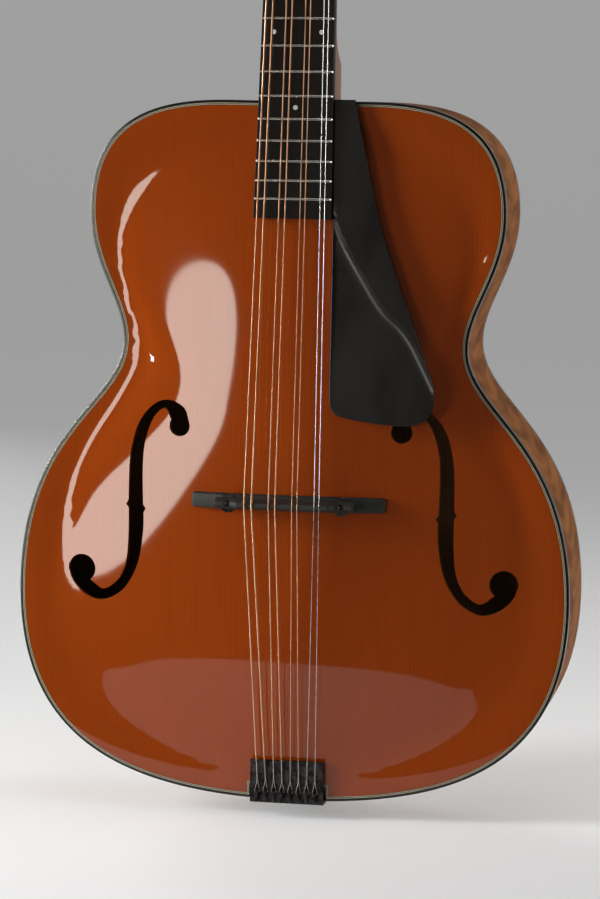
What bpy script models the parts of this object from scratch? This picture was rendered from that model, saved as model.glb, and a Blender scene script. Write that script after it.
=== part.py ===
"""Octave mandolin: carved arched body, adjustable bridge, raised guard and eight strings.

Metres. Z runs up along the neck, X to the treble side, and the front faces -Y. The origin is the
middle of the neck at the nut, where a wall hanger holds the instrument. The scale length starts
at z = 0, and the body hangs below.
"""

import math

import bmesh
import bpy
from mathutils import Vector

# Clearances, and the sides of small round pieces
GLUE_GAP = 0.0003
RUN_GAP = 0.0003
HOLE_SIDES = 10
SHAFT_SIDES = 8
PIN_SIDES = 12
CUT_PAST = 0.002

# Scale, fingerboard and frets
SCALE_LENGTH = 0.578
JOINT_FRET = 14
FRET_COUNT = 19
BOARD_PAST_LAST_FRET = 0.0124
BOARD_HALF_NUT = 0.0191
BOARD_HALF_END = 0.0251
BOARD_THICKNESS = 0.006
BOARD_ANGLE = math.radians(5.1)
BOARD_RISE = 0.007
FRET_WIDTH = 0.0024
FRET_CROWN = 0.0012
FRET_HEIGHT = 0.0012
FRET_TANG = 0.0005
FRET_END_INSET = 0.0003
ACTION_AT_TWELVE = 0.0026

# Nut
NUT_LENGTH = 0.005
NUT_RISE = 0.0018
NUT_FRONT_FALL = 0.0007

# Neck and heel
NECK_DEPTH_NUT = 0.021
NECK_DEPTH_HEEL = 0.025
NECK_SIDE = 0.003
NECK_INSET = 0.0002
NECK_STATIONS = (0.0, -0.10, -0.20)
HEEL_STATIONS = (0.2, 0.4, 0.6, 0.75, 0.88, 0.94, 1.0)
HEEL_LENGTH = 0.050
HEEL_CAP_HALF = 0.011
HEEL_CAP_LENGTH = 0.024
HEEL_SWEEP = 1.8
HEEL_CAP_THICKNESS = 0.003
HEEL_SETBACK = 0.0031
TONGUE_INSET = 0.001
TONGUE_FLAT = 0.026
TONGUE_THICKNESS = 0.0018
TONGUE_SHORT = 0.006
TONGUE_LAP = 0.004
TONGUE_DROP = 0.0002

# Truss rod and its cover
ROD_HALF = 0.003
ROD_DEPTH = 0.0075
ROD_FROM_JOINT = 0.020
ROD_NUT_REACH = 0.013
POCKET_HALF = 0.0045
POCKET_START = 0.001
POCKET_LENGTH = 0.018
POCKET_DEPTH = 0.010
COVER_HALF = 0.008
COVER_LENGTH = 0.032
COVER_THICKNESS = 0.0015
COVER_START = 0.0008

# Headstock
HEAD_ANGLE = math.radians(14)
HEAD_LENGTH = 0.128
HEAD_THICKNESS = 0.015
HEAD_HALF_LOW = 0.0186
HEAD_HALF_WIDE = 0.033
HEAD_HALF_TOP = 0.030
HEAD_FLARE = 0.018
HEAD_CROWN = 0.006
SCARF_LAP = 0.0006
HEADPLATE_THICKNESS = 0.0022

# Tuners
POST_FIRST = 0.030
POST_SPACING = 0.023
POST_OFFSET = 0.022
POST_RADIUS = 0.003
POST_WAIST = 0.0025
POST_STAND = 0.0120
POST_WAIST_LENGTH = 0.0078
POST_CAP = 0.0016
TUNER_PLATE_HALF = 0.0085
TUNER_PLATE_MARGIN = 0.014
TUNER_PLATE_THICKNESS = 0.0012
GEAR_RADIUS = 0.005
GEAR_ROOT = 0.0042
GEAR_THICKNESS = 0.0028
GEAR_TEETH = 15
GEAR_LIFT = 0.0009
WORM_RADIUS = 0.002
WORM_HALF = 0.0036
SHAFT_RADIUS = 0.0012
EAR_OFFSET = 0.005
EAR_THICKNESS = 0.0012
EAR_HALF = 0.0027
EAR_HEIGHT = 0.0062
BUTTON_GAP = 0.004
BUTTON_LENGTH = 0.014
BUTTON_RADIUS = 0.0065
BUTTON_NECK = 0.0022
BUTTON_FLATNESS = 0.55

# Body outline, measured down from the body's top edge
BODY_LENGTH = 0.4502
UPPER_DOWN = 0.0706
WAIST_DOWN = 0.1539
LOWER_DOWN = 0.3172
UPPER_HALF = 0.1342
WAIST_HALF = 0.1114
LOWER_HALF = 0.1795
SHOULDER_FLAT = 0.024
SHOULDER_PULL = 0.036
UPPER_PULL_UP = 0.078
UPPER_PULL_DOWN = 0.0363
WAIST_PULL_UP = 0.0245
WAIST_PULL_DOWN = 0.0417
LOWER_PULL_UP = 0.1070
LOWER_PULL_DOWN = 0.1055
BOTTOM_PULL = 0.1035
SHOULDER_STEPS = 6
WAIST_STEPS = 4
HIP_STEPS = 6
BOTTOM_STEPS = 8

# Plates, sides and edge work
RIB_DEPTH_NECK = 0.076
RIB_DEPTH_TAIL = 0.086
RIB_THICKNESS = 0.0022
TOP_ARCH = 0.015
BACK_ARCH = 0.015
TOP_THICKNESS = 0.0042
BACK_THICKNESS = 0.0042
PLATE_RIM = 0.004
PLATE_CENTRE_DOWN = 0.2364
ARCH_EDGE = 0.94
CHANNEL_DEPTH = 0.0005
CHANNEL_PLACE = 0.93
CHANNEL_WIDTH = 0.045
OVAL_HALF_WIDTH = 0.172
OVAL_HALF_LENGTH = 0.215
OUTER_RINGS = (0.19, 0.38, 0.57, 0.74, 0.87, 0.95)
INNER_RINGS = (0.28, 0.56, 0.84)
BINDING_WIDTH = 0.0016
TOP_BINDING_DEPTH = 0.006
BACK_BINDING_DEPTH = 0.005
PURFLING_WIDTH = 0.0015
PURFLING_DEPTH = 0.002
LINING_WIDTH = 0.006
LINING_FOOT = 0.002
LINING_DEPTH = 0.012

# Blocks and tone bars
NECK_BLOCK_HALF = 0.026
NECK_BLOCK_LENGTH = 0.045
TAIL_BLOCK_HALF = 0.030
TAIL_BLOCK_LENGTH = 0.022
BAR_WIDTH = 0.007
BAR_HEIGHT = 0.011
BAR_END_HEIGHT = 0.004
BAR_TOP_DOWN = 0.095
BAR_LENGTH = 0.270
BAR_HALF_SPREAD_TOP = 0.030
BAR_HALF_SPREAD_LOW = 0.052
BAR_STEPS = 16
BAR_GAP = 0.0004

# Sound holes, from the bridge line
EYE_X = 0.0719
EYE_Z = 0.0536
EYE_RADIUS = 0.0068
LOBE_X = 0.1378
LOBE_Z = -0.0423
LOBE_RADIUS = 0.0092
NICK_DEPTH = 0.0018
HOLE_BELOW_BRIDGE = 0.007

# Bridge
BASE_HALF = 0.0625
BASE_WIDTH = 0.010
BASE_THICKNESS = 0.007
BASE_TIP = 0.0035
BASE_STATIONS = 24
BASE_TAPER = 0.85
BRIDGE_POST_OFFSET = 0.0365
BRIDGE_POST_RADIUS = 0.0019
BRIDGE_POST_SEAT = 0.005
BRIDGE_POST_SHORT = 0.0035
WHEEL_LIFT = 0.0018
WHEEL_RADIUS = 0.0062
WHEEL_SIDES = 20
WHEEL_THICKNESS = 0.0026
SADDLE_HALF = 0.0445
SADDLE_BASE_WIDTH = 0.007
SADDLE_TOP_WIDTH = 0.0032
SADDLE_END_HEIGHT = 0.0042
SADDLE_END_FALL = 0.0006
SADDLE_SHOULDER = 0.029
SADDLE_STEP = 0.006

# Strings: name, diameter at the strand and core diameter at the loop
STRINGS = (
    ("g1", 0.0012, 0.0004),
    ("g2", 0.0012, 0.0004),
    ("d1", 0.0009, 0.0004),
    ("d2", 0.0009, 0.0004),
    ("a1", 0.0006, 0.0004),
    ("a2", 0.0006, 0.0004),
    ("e1", 0.0004, 0.0004),
    ("e2", 0.0004, 0.0004),
)
PAIR_GAPS_NUT = (0.0038, 0.0034, 0.0029, 0.0027)
PAIR_GAPS_SADDLE = (0.0047, 0.0042, 0.0033, 0.0031)
SPREAD_NUT = 0.0329
SPREAD_SADDLE = 0.0479
WIND_TURNS = 2
WIND_STEPS = 8
LOOP_STEPS = 4
LOOP_THROAT = 0.002
LOOP_RETURN = 0.0045
LOOP_FLATNESS = 0.55
WIND_SPARE = 0.0005
LOOP_SELF_GAP = 0.00045

# Tailpiece, tail saddle, end pin
TAIL_HALF = 0.0241
TAIL_REACH = 0.0268
TAIL_PLATE = 0.0015
TAIL_FLANGE_DEPTH = 0.034
HOOK_SPACING = 0.0054
HOOK_WIDTH = 0.0022
HOOK_PLATE = 0.0012
HOOK_RISE = 0.0034
HOOK_FROM_EDGE = 0.0072
HOOK_REACH = 0.0058
LOOP_LENGTH = 0.006
TAIL_SADDLE_HALF = 0.025
TAIL_SADDLE_WIDTH = 0.0098
TAIL_SADDLE_RISE = 0.0019
TAIL_SADDLE_DEPTH = 0.0036
TAIL_SADDLE_STEPS = 6
TAIL_SCREW_OFFSET = 0.015
TAIL_SCREW_DEPTH = 0.021
SCREW_RADIUS = 0.0015
SCREW_HEAD = 0.003
SCREW_HEAD_HEIGHT = 0.0016
SCREW_LENGTH = 0.011
PIN_DEPTH = 0.045
PIN_HEAD_RADIUS = 0.0065
PIN_NECK_RADIUS = 0.0045
PIN_STAND = 0.011
PIN_HEAD_HEIGHT = 0.004
PIN_SPIGOT_RADIUS = 0.0035
PIN_SPIGOT_LENGTH = 0.012

# Guard, its edge and its crease as (across, down from the body's top edge)
GUARD_DROP = 0.0025
GUARD_THICKNESS = 0.0034
GUARD_STEP = 0.0016
GUARD_BOARD_GAP = 0.0004
STANDOFF_X = 0.060
STANDOFF_DOWN = 0.166
STANDOFF_RADIUS = 0.004
GUARD_EDGE = (
    (0.0375, -0.0012), (0.0440, 0.0268), (0.0520, 0.0606), (0.0597, 0.0876), (0.0734, 0.1252),
    (0.0869, 0.1614), (0.0921, 0.1748), (0.0934, 0.1845), (0.0921, 0.1937), (0.0867, 0.1994),
    (0.0772, 0.2024), (0.0634, 0.2021), (0.0496, 0.2006), (0.0357, 0.1983), (0.0300, 0.1957),
    (0.0271, 0.1904), (0.0265, 0.1808),
)
GUARD_CREASE = (
    (0.0200, 0.0560), (0.0249, 0.0671), (0.0349, 0.0881), (0.0466, 0.1082), (0.0597, 0.1282),
    (0.0710, 0.1388), (0.0796, 0.1494), (0.0869, 0.1627), (0.0960, 0.1800),
)
GUARD_STEP_LENGTH = 0.030
GUARD_PIN_RADIUS = 0.0007
GUARD_PIN_DOWN = 0.030
GUARD_PIN_DROP = 0.0040
GUARD_PIN_IN_BOARD = 0.004
GUARD_PIN_IN_GUARD = 0.005


def fret_z(number):
    """Height of a fret, from the equal-tempered rule."""
    return -SCALE_LENGTH * (1 - 2 ** (-number / 12))


# Places worked out from the sizes
BOARD_SLOPE = math.tan(BOARD_ANGLE)
BODY_TOP = fret_z(JOINT_FRET) - HEEL_SETBACK
BODY_BOTTOM = BODY_TOP - BODY_LENGTH
BOARD_END = fret_z(FRET_COUNT) - BOARD_PAST_LAST_FRET
BRIDGE_Z = -SCALE_LENGTH
CENTRE_Z = BODY_TOP - PLATE_CENTRE_DOWN


def board_y(z):
    """Playing surface of the fingerboard at a height."""
    return -NECK_DEPTH_NUT / 2 + BOARD_SLOPE * z


RIM_Y = board_y(fret_z(JOINT_FRET)) + BOARD_RISE


def back_y(z):
    """Plane of the back's rim, deeper towards the tail."""
    share = (BODY_TOP - z) / BODY_LENGTH
    return RIM_Y + RIB_DEPTH_NECK + (RIB_DEPTH_TAIL - RIB_DEPTH_NECK) * share


def top_y(_z):
    """Plane of the soundboard's rim."""
    return RIM_Y


def board_half(z):
    """Half width of the fingerboard at a height."""
    return BOARD_HALF_NUT + (BOARD_HALF_END - BOARD_HALF_NUT) * z / BOARD_END


# Meshes


def material(name, colour, roughness, metallic=0.0):
    """Principled material with a plain colour."""
    made = bpy.data.materials.get(name)
    if made is None:
        made = bpy.data.materials.new(name)
        made.use_nodes = True
        shader = made.node_tree.nodes["Principled BSDF"]
        shader.inputs["Base Color"].default_value = (*colour, 1)
        shader.inputs["Roughness"].default_value = roughness
        shader.inputs["Metallic"].default_value = metallic
    return made


def spruce():
    """Amber varnish over spruce."""
    return material("spruce_amber", (0.42, 0.13, 0.03), 0.25)


def maple():
    """Clear varnish over figured maple."""
    return material("maple", (0.52, 0.29, 0.12), 0.3)


def neck_wood():
    """Neck wood."""
    return material("neck_wood", (0.30, 0.13, 0.06), 0.4)


def ebony():
    """Black wood."""
    return material("ebony", (0.012, 0.010, 0.009), 0.45)


def black_binding():
    """Black edge binding."""
    return material("black_binding", (0.015, 0.014, 0.013), 0.4)


def pale_line():
    """Pale and dark purfling lines, read as one strip."""
    return material("purfling", (0.62, 0.57, 0.45), 0.5)


def inner_wood():
    """Plain wood inside the box."""
    return material("inner_wood", (0.62, 0.45, 0.27), 0.7)


def black_metal():
    """Black plated metal."""
    return material("black_metal", (0.02, 0.02, 0.022), 0.3, 1.0)


def steel():
    """Bright steel."""
    return material("steel", (0.62, 0.62, 0.60), 0.25, 1.0)


def bronze():
    """Bronze string winding."""
    return material("bronze", (0.62, 0.33, 0.15), 0.35, 1.0)


def bone():
    """Nut."""
    return material("bone", (0.78, 0.72, 0.58), 0.4)


def add_mesh(name, points, faces, finish, origin=(0, 0, 0), smooth=True):
    """Closed mesh object with its origin at a point, faces turned outward."""
    start = Vector(origin)
    mesh = bpy.data.meshes.new(name)
    mesh.from_pydata([Vector(point) - start for point in points], [], faces)
    work = bmesh.new()
    work.from_mesh(mesh)
    bmesh.ops.recalc_face_normals(work, faces=work.faces)
    work.to_mesh(mesh)
    work.free()
    mesh.materials.append(finish)
    if smooth:
        mesh.shade_smooth()
        mesh.set_sharp_from_angle(angle=math.radians(35))
    made = bpy.data.objects.new(name, mesh)
    made.location = start
    bpy.context.scene.collection.objects.link(made)
    return made


def skin(name, loops, finish, origin=(0, 0, 0), closed=False):
    """Skin through loops of equal length, capped at both ends or closed on itself."""
    count = len(loops[0])
    points = [point for loop in loops for point in loop]
    faces = []
    last = len(loops) if closed else len(loops) - 1
    for row in range(last):
        after = (row + 1) % len(loops)
        for step in range(count):
            other = (step + 1) % count
            faces.append((row * count + step, row * count + other,
                          after * count + other, after * count + step))
    if not closed:
        faces.append(tuple(range(count)))
        faces.append(tuple((len(loops) - 1) * count + step for step in reversed(range(count))))
    return add_mesh(name, points, faces, finish, origin)


def prism(name, outline, low, high, finish, place):
    """Outline of (a, b) pairs run between two levels, set in space by place(a, b, level)."""
    loops = [[place(a, b, level) for a, b in outline] for level in (low, high)]
    return skin(name, loops, finish)


def turned(name, profile, segments, finish, place, origin=(0, 0, 0), hollow=False, squash=None):
    """Turned piece: profile of (radius, height), set in space by place(a, b, height)."""
    loops = []
    for radius, height in profile:
        loop = []
        for step in range(segments):
            angle = 2 * math.pi * step / segments
            flat = squash(height) if squash else 1
            loop.append(place(radius * math.cos(angle), radius * math.sin(angle) * flat, height))
        loops.append(loop)
    return skin(name, loops, finish, origin, closed=hollow)


def facing_front(a, b, level):
    """Places an outline of (x, z) at a level along Y."""
    return (a, level, b)


def facing_side(a, b, level):
    """Places a profile of (y, z) at a level along X."""
    return (level, a, b)


def along_y(x, z):
    """Places a turned piece whose axis runs along Y."""
    return lambda a, b, height: (x + a, height, z + b)


def along_z(x, y):
    """Places a turned piece whose axis runs along Z."""
    return lambda a, b, height: (x + a, y + b, height)


def join(name, pieces, finish):
    """One object from pieces that don't touch each other."""
    work = bmesh.new()
    for piece in pieces:
        piece.data.transform(piece.matrix_basis)
        work.from_mesh(piece.data)
        bpy.data.objects.remove(piece)
    mesh = bpy.data.meshes.new(name)
    work.to_mesh(mesh)
    work.free()
    mesh.materials.append(finish)
    made = bpy.data.objects.new(name, mesh)
    bpy.context.scene.collection.objects.link(made)
    return made


def hide_cutter(cutter):
    """Marks a cutter, so that it isn't a piece."""
    cutter.hide_render = True
    cutter.display_type = "WIRE"
    return cutter


def boolean(target, tool, operation):
    """Cuts a piece with a tool, or joins the two."""
    change = target.modifiers.new(operation.lower(), "BOOLEAN")
    change.object = hide_cutter(tool)
    change.operation = operation
    change.solver = "EXACT"


def bezier(start, pull_a, pull_b, end, steps):
    """Points of one cubic curve, without its last point."""
    points = []
    for step in range(steps):
        t = step / steps
        k = (1 - t) ** 3, 3 * t * (1 - t) ** 2, 3 * t * t * (1 - t), t ** 3
        corners = (start, pull_a, pull_b, end)
        points.append(tuple(sum(k[i] * corners[i][axis] for i in range(4)) for axis in range(2)))
    return points


def arc(centre, radius, start, end, steps):
    """Points of an arc between two angles in degrees."""
    points = []
    for step in range(steps + 1):
        angle = math.radians(start + (end - start) * step / steps)
        points.append((centre[0] + radius * math.cos(angle), centre[1] + radius * math.sin(angle)))
    return points


# Body outline


def half_outline():
    """Treble half of the body's outer edge, from the top's middle to the tail's middle."""
    upper = BODY_TOP - UPPER_DOWN
    waist = BODY_TOP - WAIST_DOWN
    lower = BODY_TOP - LOWER_DOWN
    points = [(0.0, BODY_TOP)]
    points += bezier((SHOULDER_FLAT, BODY_TOP), (SHOULDER_FLAT + SHOULDER_PULL, BODY_TOP),
                     (UPPER_HALF, upper + UPPER_PULL_UP), (UPPER_HALF, upper), SHOULDER_STEPS)
    points += bezier((UPPER_HALF, upper), (UPPER_HALF, upper - UPPER_PULL_DOWN),
                     (WAIST_HALF, waist + WAIST_PULL_UP), (WAIST_HALF, waist), WAIST_STEPS)
    points += bezier((WAIST_HALF, waist), (WAIST_HALF, waist - WAIST_PULL_DOWN),
                     (LOWER_HALF, lower + LOWER_PULL_UP), (LOWER_HALF, lower), HIP_STEPS)
    points += bezier((LOWER_HALF, lower), (LOWER_HALF, lower - LOWER_PULL_DOWN),
                     (BOTTOM_PULL, BODY_BOTTOM), (0.0, BODY_BOTTOM), BOTTOM_STEPS)
    points.append((0.0, BODY_BOTTOM))
    return points


def full_outline():
    """Whole outer edge, clockwise from the top's middle as seen from the front."""
    treble = half_outline()
    bass = [(-x, z) for x, z in reversed(treble[1:-1])]
    return treble + bass


def inset(outline, distance):
    """Closed outline moved inward by a distance, point by point."""
    moved = []
    for index, point in enumerate(outline):
        before = Vector(outline[index - 1])
        after = Vector(outline[(index + 1) % len(outline)])
        here = Vector(point)
        one = (here - before).normalized()
        two = (after - here).normalized()
        mean = (one + two).normalized()
        inward = Vector((mean.y, -mean.x))
        stretch = max(0.5, mean.dot(two))
        moved.append(tuple(here + inward * distance / stretch))
    return moved


def edge_z(outline, x, at_top):
    """Height of a closed outline above or below a place across it."""
    found = []
    for index, (ax, az) in enumerate(outline):
        bx, bz = outline[(index + 1) % len(outline)]
        if min(ax, bx) <= x <= max(ax, bx) and ax != bx:
            found.append(az + (bz - az) * (x - ax) / (bx - ax))
    return max(found) if at_top else min(found)


def plate_edge(purfled):
    """Edge of a plate's visible surface."""
    width = BINDING_WIDTH + GLUE_GAP
    if purfled:
        width += PURFLING_WIDTH + GLUE_GAP
    return inset(full_outline(), width)


def arch_height(x, z, share, arch):
    """Height of the carved arch: oval near the middle, following the edge near the edge."""
    oval = math.hypot(x / OVAL_HALF_WIDTH, (z - CENTRE_Z) / OVAL_HALF_LENGTH)
    mixed = oval * (1 - share ** 2) + share ** 3
    inner = max(0.0, 1 - (mixed / ARCH_EDGE) ** 2)
    channel = CHANNEL_DEPTH * math.exp(-((share - CHANNEL_PLACE) / CHANNEL_WIDTH) ** 2)
    return arch * inner ** 1.5 - channel * share


def sector(x, z, outline):
    """Outline edge that a place lies towards, and its shares of the edge's two ends."""
    far = Vector((x, z - CENTRE_Z))
    for index, (ax, az) in enumerate(outline):
        bx, bz = outline[(index + 1) % len(outline)]
        a = Vector((ax, az - CENTRE_Z))
        b = Vector((bx, bz - CENTRE_Z))
        turn = a.x * b.y - a.y * b.x
        of_a = (far.x * b.y - far.y * b.x) / turn
        of_b = (a.x * far.y - a.y * far.x) / turn
        if of_a >= -1e-9 and of_b >= -1e-9:
            return (ax, az), (bx, bz), of_a, of_b
    return outline[0], outline[1], 0.0, 0.0


def faceted_height(x, z, outline, rings, arch):
    """Height of a plate's facets above its rim at a place, between the rings given."""
    one, two, of_one, of_two = sector(x, z, outline)
    share = of_one + of_two
    across = of_two / share if share else 0.0
    steps = (0.0, *rings, 1.0)
    for low, high in zip(steps, steps[1:]):
        if share <= high:
            levels = []
            for ring in (low, high):
                ends = [(end[0] * ring, CENTRE_Z + (end[1] - CENTRE_Z) * ring) for end in (one, two)]
                heights = [arch_height(*end, ring, arch) for end in ends]
                levels.append(heights[0] * (1 - across) + heights[1] * across)
            part = (share - low) / (high - low)
            return levels[0] * (1 - part) + levels[1] * part
    return 0.0


def plate(name, purfled, arch, thickness, face_y, outward, finish):
    """Carved plate with a stepped edge that sits inside the binding and on the lining."""
    visible = plate_edge(purfled)
    seat = inset(full_outline(), BINDING_WIDTH + GLUE_GAP)

    def ring(outline, share, level):
        loop = []
        for x, z in outline:
            place = (x * share, CENTRE_Z + (z - CENTRE_Z) * share)
            loop.append((place[0], face_y(place[1]) + outward * level(*place, share), place[1]))
        return loop

    def outside(x, z, share):
        return arch_height(x, z, share, arch)

    def inside(x, z, share):
        return max(arch_height(x, z, share, arch) - thickness, -PLATE_RIM)

    loops = [ring(visible, share, outside) for share in (*OUTER_RINGS, 1.0)]
    if purfled:
        loops.append(ring(visible, 1.0, lambda x, z, share: -(PURFLING_DEPTH + GLUE_GAP)))
        loops.append(ring(seat, 1.0, lambda x, z, share: -(PURFLING_DEPTH + GLUE_GAP)))
    loops.append(ring(seat, 1.0, lambda x, z, share: -PLATE_RIM))
    loops += [ring(visible, share, inside) for share in reversed(INNER_RINGS)]
    count = len(visible)
    points = [point for loop in loops for point in loop]
    faces = []
    for row in range(len(loops) - 1):
        for step in range(count):
            other = (step + 1) % count
            faces.append((row * count + step, row * count + other,
                          (row + 1) * count + other, (row + 1) * count + step))
    for row, level in ((0, outside), (len(loops) - 1, inside)):
        points.append((0.0, face_y(CENTRE_Z) + outward * level(0.0, CENTRE_Z, 0.0), CENTRE_Z))
        for step in range(count):
            faces.append((row * count + step, row * count + (step + 1) % count, len(points) - 1))
    return add_mesh(name, points, faces, finish)


def edge_ring(name, near, far, face_y, inward, depth, finish, foot=None):
    """Closed strip between two insets, let in from a rim plane; its foot may be narrower."""
    outer = inset(full_outline(), near)
    inner = inset(full_outline(), far)
    low = inner if foot is None else inset(full_outline(), foot)
    loops = []
    for index in range(len(outer)):
        section = []
        for outline, level in ((outer, depth[0]), (inner, depth[0]), (low, depth[1]), (outer, depth[1])):
            x, z = outline[index]
            section.append((x, face_y(z) + inward * level, z))
        loops.append(section)
    return skin(name, loops, finish, closed=True)


def make_edges():
    """Bindings, purfling and linings."""
    edge_ring("top_binding", 0, BINDING_WIDTH, top_y, 1, (0, TOP_BINDING_DEPTH), black_binding())
    start = BINDING_WIDTH + GLUE_GAP
    edge_ring("top_purfling", start, start + PURFLING_WIDTH, top_y, 1, (0, PURFLING_DEPTH), pale_line())
    edge_ring("back_binding", 0, BINDING_WIDTH, back_y, -1, (0, BACK_BINDING_DEPTH), black_binding())
    inside = RIB_THICKNESS + GLUE_GAP
    below = PLATE_RIM + GLUE_GAP
    for name, face, inward in (("top_lining", top_y, 1), ("back_lining", back_y, -1)):
        edge_ring(name, inside, inside + LINING_WIDTH, face, inward, (below, below + LINING_DEPTH),
                  inner_wood(), inside + LINING_FOOT)


def make_ribs():
    """Bent sides, one on each side, meeting at the neck and at the tail."""
    outer = full_outline()
    inner = inset(outer, RIB_THICKNESS)
    half = len(half_outline())
    for name, side in (("rib_treble", 1), ("rib_bass", -1)):
        loops = []
        for index in range(half):
            section = []
            for outline, at_front in ((outer, True), (inner, True), (inner, False), (outer, False)):
                x, z = outline[index]
                x = max(x, GLUE_GAP / 2)
                front = RIM_Y + TOP_BINDING_DEPTH + GLUE_GAP
                rear = back_y(z) - BACK_BINDING_DEPTH - GLUE_GAP
                section.append((side * x, front if at_front else rear, z))
            loops.append(section)
        skin(name, loops, maple())


def sound_hole_outline():
    """One sound hole of the treble side, around from its upper eye."""
    middle = BRIDGE_Z - HOLE_BELOW_BRIDGE
    eye = arc((EYE_X, EYE_Z), EYE_RADIUS, 32, -195, 7)
    head = ((0.0682, 0.0641), (0.0743, 0.0687), (0.0808, 0.0699), (0.0878, 0.0679), (0.0948, 0.0618),
            (0.1000, 0.0537), (0.1032, 0.0437), (0.1054, 0.0298), (0.1060, 0.0040))
    tail = ((0.1058, -0.0010), (0.1059, -0.0180), (0.1070, -0.0330), (0.1095, -0.0421), (0.1145, -0.0498),
            (0.1231, -0.0550))
    lobe = arc((LOBE_X, LOBE_Z), LOBE_RADIUS, 231, -5, 8)
    low = ((0.1436, -0.0515), (0.1353, -0.0594), (0.1241, -0.0625), (0.1119, -0.0567), (0.1044, -0.0477),
           (0.0994, -0.0367), (0.0970, -0.0256), (0.0956, -0.0126), (0.0957, -0.0035))
    rise = ((0.0959, 0.0015), (0.0964, 0.0182), (0.0961, 0.0340), (0.0946, 0.0440), (0.0917, 0.0535),
            (0.0878, 0.0605), (0.0818, 0.0644))
    nick_out = (tail[0][0] + NICK_DEPTH, (head[-1][1] + tail[0][1]) / 2)
    nick_in = (rise[0][0] - NICK_DEPTH, (low[-1][1] + rise[0][1]) / 2)
    points = [*eye, *head, nick_out, *tail, *lobe, *low, nick_in, *rise]
    return [(x, middle + z) for x, z in points]


def make_plates():
    """Soundboard with two sound holes, and the back."""
    top = plate("soundboard", True, TOP_ARCH, TOP_THICKNESS, top_y, -1, spruce())
    plate("back", False, BACK_ARCH, BACK_THICKNESS, back_y, 1, maple())
    for side in (1, -1):
        outline = [(side * x, z) for x, z in sound_hole_outline()]
        reach = TOP_ARCH + TOP_THICKNESS
        cutter = prism(f"hole_cutter_{side}", outline, RIM_Y - reach, RIM_Y + reach, ebony(),
                       facing_front)
        boolean(top, cutter, "DIFFERENCE")
    return top


def block(name, half, length, at_top):
    """Inner block against the sides, notched round the linings."""
    way = -1 if at_top else 1
    inside = inset(full_outline(), RIB_THICKNESS + GLUE_GAP)
    lined = inset(full_outline(), RIB_THICKNESS + LINING_WIDTH + 3 * GLUE_GAP)
    side = edge_z(inside, half, at_top)
    side = min(side, edge_z(inside, 0, at_top)) if at_top else max(side, edge_z(inside, 0, at_top))
    line = edge_z(lined, half, at_top)
    line = min(line, edge_z(lined, 0, at_top)) if at_top else max(line, edge_z(lined, 0, at_top))
    far = side + way * length
    plate_in = PLATE_RIM + GLUE_GAP
    lining = PLATE_RIM + LINING_DEPTH + 2 * GLUE_GAP
    profile = (
        (RIM_Y + lining, side), (RIM_Y + lining, line), (RIM_Y + plate_in, line), (RIM_Y + plate_in, far),
        (back_y(far) - plate_in, far), (back_y(line) - plate_in, line), (back_y(line) - lining, line),
        (back_y(side) - lining, side),
    )
    return prism(name, profile, -half, half, inner_wood(), facing_side)


def make_tone_bars():
    """Two long bars under the soundboard, spreading towards the tail."""
    visible = plate_edge(True)
    for name, side in (("tone_bar_treble", 1), ("tone_bar_bass", -1)):
        loops = []
        for step in range(BAR_STEPS + 1):
            part = step / BAR_STEPS
            z = BODY_TOP - BAR_TOP_DOWN - BAR_LENGTH * part
            x = side * (BAR_HALF_SPREAD_TOP + (BAR_HALF_SPREAD_LOW - BAR_HALF_SPREAD_TOP) * part)
            edges = [x - BAR_WIDTH / 2, x + BAR_WIDTH / 2]
            height = min(faceted_height(edge, z, visible, INNER_RINGS, TOP_ARCH) for edge in edges)
            level = RIM_Y - height + TOP_THICKNESS + BAR_GAP
            deep = BAR_END_HEIGHT + (BAR_HEIGHT - BAR_END_HEIGHT) * math.sin(math.pi * part)
            loops.append([(edges[0], level, z), (edges[1], level, z),
                          (edges[1], level + deep, z), (edges[0], level + deep, z)])
        skin(name, loops, inner_wood())


# Neck, headstock and fingerboard


HEAD_Y = board_y(0) + BOARD_THICKNESS + GLUE_GAP
HEAD_Z = NUT_LENGTH + GLUE_GAP
HEAD_SIN = math.sin(HEAD_ANGLE)
HEAD_COS = math.cos(HEAD_ANGLE)


def head_place(x, up, deep):
    """Point from headstock coordinates: across, up its face, and back from its face."""
    return (x, HEAD_Y + up * HEAD_SIN + deep * HEAD_COS, HEAD_Z + up * HEAD_COS - deep * HEAD_SIN)


def head_outline(low):
    """Outline of the headstock from a height up its face."""
    treble = [(HEAD_HALF_LOW, low), (HEAD_HALF_LOW, 0.0)]
    treble += bezier((HEAD_HALF_LOW, 0.0), (HEAD_HALF_LOW, HEAD_FLARE / 2),
                     (HEAD_HALF_WIDE, HEAD_FLARE / 2), (HEAD_HALF_WIDE, HEAD_FLARE), 5)[1:]
    treble.append((HEAD_HALF_WIDE, HEAD_FLARE))
    shoulder = HEAD_LENGTH - HEAD_CROWN
    treble += bezier((HEAD_HALF_TOP, shoulder), (HEAD_HALF_TOP * 0.8, shoulder + HEAD_CROWN * 0.6),
                     (HEAD_HALF_TOP * 0.4, HEAD_LENGTH), (0.0, HEAD_LENGTH), 5)
    treble.append((0.0, HEAD_LENGTH))
    bass = [(-x, up) for x, up in reversed(treble[:-1])]
    if low == 0.0:
        treble = treble[1:]
        bass = bass[:-1]
    return treble + bass


def neck_depth(z):
    """Depth of the neck from the playing surface to its back, without the heel."""
    share = z / BODY_TOP
    return NECK_DEPTH_NUT + (NECK_DEPTH_HEEL - NECK_DEPTH_NUT) * max(0.0, share)


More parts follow.
